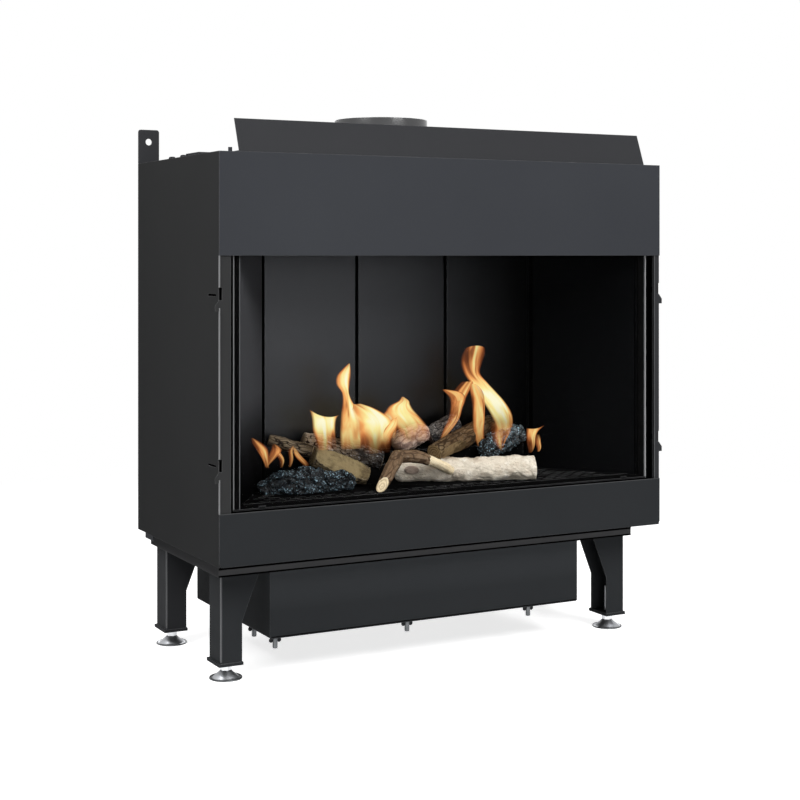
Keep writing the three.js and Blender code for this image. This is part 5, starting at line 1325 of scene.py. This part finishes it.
# Flames, millimetres. Depth behind the front; then from the foot to the tip: place across,
# rise above the tray, width, heat (1 is palest) and how solid it looks. The last two bend the
# top edge: below zero its middle sags between two horns, and its left end stands higher
flames = {
    "lowLeftOuter": (120, [(-354, 54, 7, 0.3, 0.1), (-357, 72, 15, 0.45, 0.6), (-365, 90, 24, 0.4, 0.8),
                           (-378, 104, 19, 0.3, 0.7), (-386, 113, 4, 0.2, 0.3)], (0, 0)),
    "lowLeftInner": (118, [(-356, 56, 6, 0.3, 0.1), (-347, 70, 17, 0.4, 0.6), (-340, 84, 25, 0.45, 0.8),
                           (-338, 93, 17, 0.35, 0.7), (-339, 99, 3, 0.25, 0.3)], (0, 0)),
    "lowLeftLeg": (117, [(-325, 53, 6, 0.2, 0.1), (-327, 67, 10, 0.35, 0.5), (-333, 81, 14, 0.4, 0.7),
                         (-339, 92, 8, 0.3, 0.3)], (0, 0)),
    "lowMidLeft": (112, [(-311, 54, 5, 0.2, 0.1), (-309, 72, 8, 0.35, 0.5), (-307, 86, 9, 0.4, 0.6),
                         (-305, 95, 3, 0.3, 0.3)], (0, 0)),
    "lowMidRight": (112, [(-276, 54, 13, 0.2, 0.1), (-284, 65, 15, 0.35, 0.5), (-295, 78, 12, 0.35, 0.6),
                          (-303, 92, 5, 0.3, 0.3)], (0, 0)),
    "horned": (150, [(-214, 78, 47, 0.25, 0.2), (-216, 98, 49, 0.4, 0.48), (-217, 118, 51, 0.8, 0.88),
                     (-218, 137, 54, 0.95, 1.0), (-219, 147, 60, 0.8, 1.0),
                     (-219, 153, 68, 0.6, 0.9)], (-9, 7)),
    "tallLeft": (150, [(-150, 76, 66, 0.35, 0.1), (-153, 100, 60, 0.6, 0.7), (-154, 128, 54, 0.8, 0.95),
                       (-159, 152, 40, 0.8, 1.0), (-166, 172, 22, 0.7, 1.0), (-172, 190, 16, 0.75, 1.0),
                       (-178, 208, 31, 0.8, 1.0), (-177, 225, 31, 0.75, 1.0), (-170, 238, 18, 0.6, 0.95),
                       (-163, 248, 3, 0.4, 0.6)], (0, 0)),
    "shoulder": (145, [(-100, 64, 60, 0.3, 0.05), (-102, 88, 76, 0.45, 0.34), (-106, 112, 88, 0.65, 0.9),
                       (-110, 130, 86, 0.9, 1.0), (-124, 146, 68, 0.9, 1.0), (-136, 158, 48, 0.7, 0.95),
                       (-148, 166, 26, 0.5, 0.7)], (0, 0)),
    "shoulderHorn": (144, [(-84, 88, 34, 0.35, 0.1), (-78, 108, 32, 0.6, 0.8), (-70, 122, 24, 0.7, 0.9),
                           (-60, 133, 10, 0.45, 0.8), (-55, 138, 3, 0.3, 0.5)], (0, 0)),
    "centre": (150, [(-12, 82, 84, 0.3, 0.05), (-18, 106, 78, 0.5, 0.42), (-33, 128, 72, 0.85, 0.9),
                     (-46, 146, 66, 0.8, 1.0), (-45, 158, 50, 0.75, 1.0), (-38, 167, 26, 0.6, 0.9),
                     (-42, 176, 4, 0.4, 0.6)], (0, 0)),
    "centreBack": (160, [(-66, 92, 30, 0.2, 0.1), (-66, 118, 36, 0.4, 0.7), (-63, 138, 38, 0.45, 0.8),
                         (-54, 152, 28, 0.4, 0.7), (-46, 162, 10, 0.3, 0.4)], (0, 0)),
    "tallRight": (155, [(196, 56, 34, 0.25, 0.05), (203, 84, 42, 0.4, 0.30), (206, 108, 47, 0.6, 0.42),
                        (200, 130, 54, 0.85, 0.78), (184, 154, 54, 1.0, 1.0), (164, 176, 50, 0.95, 1.0),
                        (146, 196, 43, 0.7, 1.0), (128, 217, 40, 0.4, 0.95), (125, 238, 52, 0.28, 0.85),
                        (129, 257, 58, 0.2, 0.75), (133, 271, 48, 0.3, 0.8)], (5, 0)),
    "tallRightFoot": (98, [(163, 60, 8, 0.2, 0.05), (163, 72, 24, 0.3, 0.45), (162, 88, 42, 0.35, 0.55),
                           (161, 104, 53, 0.4, 0.42), (160, 120, 50, 0.4, 0.03)], (0, 0)),
    "middleStrand": (152, [(152, 58, 20, 0.25, 0.1), (146, 86, 26, 0.4, 0.5), (142, 116, 30, 0.5, 0.75),
                           (139, 146, 32, 0.5, 0.85), (138, 172, 34, 0.55, 0.9),
                           (134, 196, 30, 0.5, 0.7)], (0, 0)),
    "rightLeg": (150, [(52, 82, 7, 0.2, 0.15), (66, 102, 22, 0.3, 0.6), (78, 124, 28, 0.35, 0.7),
                       (84, 146, 30, 0.4, 0.8), (92, 166, 36, 0.4, 0.85), (104, 184, 40, 0.4, 0.9),
                       (117, 201, 30, 0.4, 0.8)], (0, 0)),
    "rightHorn": (149, [(90, 150, 34, 0.4, 0.1), (87, 168, 40, 0.5, 0.7), (78, 180, 38, 0.6, 0.9),
                        (64, 185, 17, 0.45, 0.9), (54, 187, 4, 0.35, 0.6)], (0, 0)),
    "rightLow": (118, [(247, 48, 8, 0.2, 0.1), (249, 62, 19, 0.3, 0.5), (252, 78, 24, 0.45, 0.75),
                       (256, 92, 32, 0.6, 0.9), (262, 103, 48, 0.5, 0.85)], (-4, -3)),
    "rightLowTip": (117, [(265, 50, 4, 0.3, 0.4), (270, 60, 12, 0.35, 0.7), (268, 72, 15, 0.4, 0.7),
                          (262, 86, 12, 0.4, 0.1)], (0, 0)),
}
flameMesh = {"rows": 64, "columns": 29, "bow": 9.0, "sway": 0.8, "waver": 4.0}


def makeFlames():
    columns, rows = flameMesh["columns"], flameMesh["rows"]
    for order, (name, (depth, stations, (sag, lean))) in enumerate(flames.items()):
        points, fields, heats, bodies = [], [], [], []
        tracks = list(zip(*stations))
        for step in range(rows + 1):
            share = step / rows
            x, rise, width, heat, body = (alongValues(track, share) for track in tracks)
            sway = flameMesh["sway"] * math.sin(share * 9 + order * 2.1) * share
            waver = flameMesh["waver"] * math.sin(share * 7 + order)
            belly = flameMesh["bow"] * math.sin(math.pi * (0.15 + 0.7 * share))
            for column in range(columns):
                across = 2 * column / (columns - 1) - 1
                bulge = 1 - across * across
                lift = rise + (sag * bulge - lean * across) * share ** 3
                points.append(((x + sway + max(width, 1.0) / 2 * across) / 1000,
                               hearth["front"] + (depth - belly * bulge + waver) / 1000,
                               hearth["level"] + lift / 1000))
                fields.extend((across, rise / 40, order * 3.7))
                heats.append(heat)
                bodies.append(max(0.0, body))
        piece = newPiece("flame_" + name, points, gridFaces(rows + 1, columns, False), True)
        attributes = piece.data.attributes
        attributes.new("flamePlace", "FLOAT_VECTOR", "POINT").data.foreach_set("vector", fields)
        attributes.new("heatShare", "FLOAT", "POINT").data.foreach_set("value", heats)
        attributes.new("bodyShare", "FLOAT", "POINT").data.foreach_set("value", bodies)
        finishPiece(piece, "casing", "flame", "flame")
    print("flames lit:", len(flames))


# Painted highlights and painted shade that are too fine for the part's own solids, in millimetres:
# pale bars along lit edges and black bars in shaded gaps. Each one is a bar that stands a little proud of its
# sheet
mm = 0.001
bars = {
    "thin": 0.12 * mm, "proud": 0.25 * mm, "depth": 1.0 * mm,
    "bevel": 0.12 * mm, "fineBevel": 0.05 * mm, "hairBevel": 0.03 * mm,
}


def makeBar(name, low, high, finish, slot, bevelWidth=bars["bevel"], body="casing"):
    corners = [(x, y, z) for z in (low[2], high[2]) for y in (low[1], high[1]) for x in (low[0], high[0])]
    faces = [(0, 2, 3, 1), (4, 5, 7, 6), (0, 1, 5, 4), (2, 6, 7, 3), (0, 4, 6, 2), (1, 3, 7, 5)]
    piece = newPiece(name, corners, faces)
    bevel = piece.modifiers.new("edges", "BEVEL")
    bevel.width = min(bevelWidth, min(high[axis] - low[axis] for axis in range(3)) / 3)
    bevel.segments = 2
    finishPiece(piece, body, slot, finish)


paneStrips = {"edge": 1.9, "border": 11.6, "line": 1.8, "end": 15.5, "rightShift": 1.9}


# painted highlights: pale bars along the glass's edges and at the left liner's front edge; the black border
# is printed
def makePaneStrips():  # the bright edge of the glass and the black border printed behind it
    low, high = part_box("glass_pane")
    reach = max(abs(low.x), abs(high.x))
    edge, border = paneStrips["edge"], paneStrips["edge"] + paneStrips["border"]
    line, shift = border + paneStrips["line"], paneStrips["rightShift"]
    front = (low.y - bars["proud"], high.y)
    back = (high.y, high.y + bars["thin"])
    for name, side, outer, inner, finish, (near, far) in (
        ("pane_edge_left", -1, 0.0, edge, "highlight", front),
        ("pane_border_left", -1, edge, border, "rope", back),
        ("border_line_left", -1, border, line, "dimHighlight", back),
        ("border_end_left", -1, line, paneStrips["end"], "side", back),
        ("pane_edge_right", 1, -shift, edge - shift, "brightHighlight", front),
        ("pane_border_right", 1, edge, border, "rope", back),
    ):
        left, right = sorted((side * (reach - outer * mm), side * (reach - inner * mm)))
        makeBar(name, (left, near, low.z), (right, far, high.z), finish, "clear_glass", bars["hairBevel"],
                "glass_front")


cornerHighlight = {"across": 1.6, "depth": 4.0, "slotRises": (161.0, 476.0), "slotHeight": 37.5}
fasciaHighlight = {"height": 1.3, "inset": 2.0}
# painted shade, then a painted highlight, along the right side panel's flange
flangeStrips = (("shade", 0.0, 3.4, "chamber"), ("line", 3.4, 5.2, "dimHighlight"))


# painted highlights along the casing's front left corner and the lower fascia's top edge, and painted shade
# on the right flange
def makeCasingEdges():
    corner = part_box("upper_fascia")[0]
    bandLow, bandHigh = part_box("lower_fascia")[1].z, corner.z
    slots = [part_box("left_side_panel")[0].z + rise * mm for rise in cornerHighlight["slotRises"]]
    starts = [bandLow] + [slot + cornerHighlight["slotHeight"] * mm for slot in slots]
    for index, (start, stop) in enumerate(zip(starts, slots + [bandHigh]), 1):
        makeBar("corner_edge_%d" % index, (corner.x - bars["proud"], corner.y, start),
                (corner.x + cornerHighlight["across"] * mm, corner.y + cornerHighlight["depth"] * mm, stop),
                "highlight", "casing_steel")
    low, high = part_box("lower_fascia")
    inset = fasciaHighlight["inset"] * mm
    makeBar("fascia_edge", (low.x + inset, low.y - bars["thin"], high.z - fasciaHighlight["height"] * mm),
            (high.x - inset, low.y + bars["depth"], high.z + bars["thin"]),
            "fasciaHighlight", "casing_steel", bars["fineBevel"])
    low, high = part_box("right_side_panel")
    for name, first, last, finish in flangeStrips:
        makeBar("flange_" + name, (low.x + first * mm, low.y - bars["thin"], bandLow),
                (low.x + last * mm, low.y + bars["proud"], bandHigh), finish, "casing_steel")


slotShades = {
    "inset": 2.4, "thick": 1.2, "rises": (178.0, 493.0), "height": 12.0, "front": 14.0, "back": 64.0,
}


# painted shade: a black sheet behind each side slot stands for the shade inside the casing
def makeSlotShades():  # dark sheet behind the side slots
    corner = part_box("upper_fascia")[0]
    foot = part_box("right_side_panel")[0].z
    for side, name in ((-1, "left"), (1, "right")):
        wall = side * (-corner.x - slotShades["inset"] * mm)
        left, right = sorted((wall, wall - side * slotShades["thick"] * mm))
        for index, rise in enumerate(slotShades["rises"], 1):
            makeBar("slot_shield_%s_%d" % (name, index),
                    (left, corner.y + slotShades["front"] * mm, foot + rise * mm),
                    (right, corner.y + slotShades["back"] * mm, foot + (rise + slotShades["height"]) * mm),
                    "chamber", "casing_steel")


# painted highlight along the front corner of each left leg
legHighlight = {
    "legs": ("front_left_leg", "rear_left_leg"), "width": 2.6, "lip": 4.0, "frontLip": 2.0, "plate": 9.0,
}
# painted shade: black lines along the base frame's front and across the gas box's front above its lid
frameShadowLines = {"lowHeight": 3.4, "highHeight": 5.1, "highDrop": 18.4}
boxShadowLine = {"height": 2.4, "inset": 3.0}


def makeFrameEdges():
    proud, width = bars["proud"], legHighlight["width"] * mm
    for leg in legHighlight["legs"]:
        low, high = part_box(leg)
        x, y = low.x + legHighlight["lip"] * mm, low.y + legHighlight["frontLip"] * mm
        makeBar(leg + "_edge", (x - proud, y - proud, low.z + legHighlight["plate"] * mm),
                (x + width, y + width, high.z), "dimHighlight", "frame_steel")
    low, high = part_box("base_frame")
    for name, base in (("low", low.z), ("high", high.z - frameShadowLines["highDrop"] * mm)):
        makeBar("frame_seam_" + name, (low.x - proud, low.y - proud, base),
                (high.x + proud, low.y + bars["depth"], base + frameShadowLines[name + "Height"] * mm),
                "chamber", "frame_steel")
    low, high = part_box("gas_box")
    base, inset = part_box("gas_box_lid")[1].z + 2 * bars["thin"], boxShadowLine["inset"] * mm
    makeBar("box_edge", (low.x + inset, low.y - bars["thin"], base),
            (high.x - inset, low.y + bars["depth"], base + boxShadowLine["height"] * mm),
            "chamber", "frame_steel", bars["fineBevel"])


flapHousings = {"across": (452.0, 478.0), "depths": (168.0, 238.0), "height": 8.5, "bevel": 1.2}


def makeFlapHousings():  # a raised block behind each relief flap
    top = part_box("upper_fascia")[1].z
    front, rear = (hearth["front"] + depth * mm for depth in flapHousings["depths"])
    for side, name in ((-1, "left"), (1, "right")):
        left, right = sorted(side * across * mm for across in flapHousings["across"])
        makeBar("flap_housing_" + name, (left, front, top), (right, rear, top + flapHousings["height"] * mm),
                "frame", "casing_steel", flapHousings["bevel"] * mm)
    print("painted highlights and shade lines fitted")


bpy.context.scene.view_settings.view_transform = "Standard"
makeCamera()
makeWorld()
makeLamps()
makeFloor()
dressNodes()
makeFlue()
makeFeet()
makeScrews()
makePaneStrips()
makeCasingEdges()
makeSlotShades()
makeFrameEdges()
makeFlapHousings()
smoothNodes()
makeWingNuts()
makeCinders(makeLogs())
makeBranch()
makeFlames()
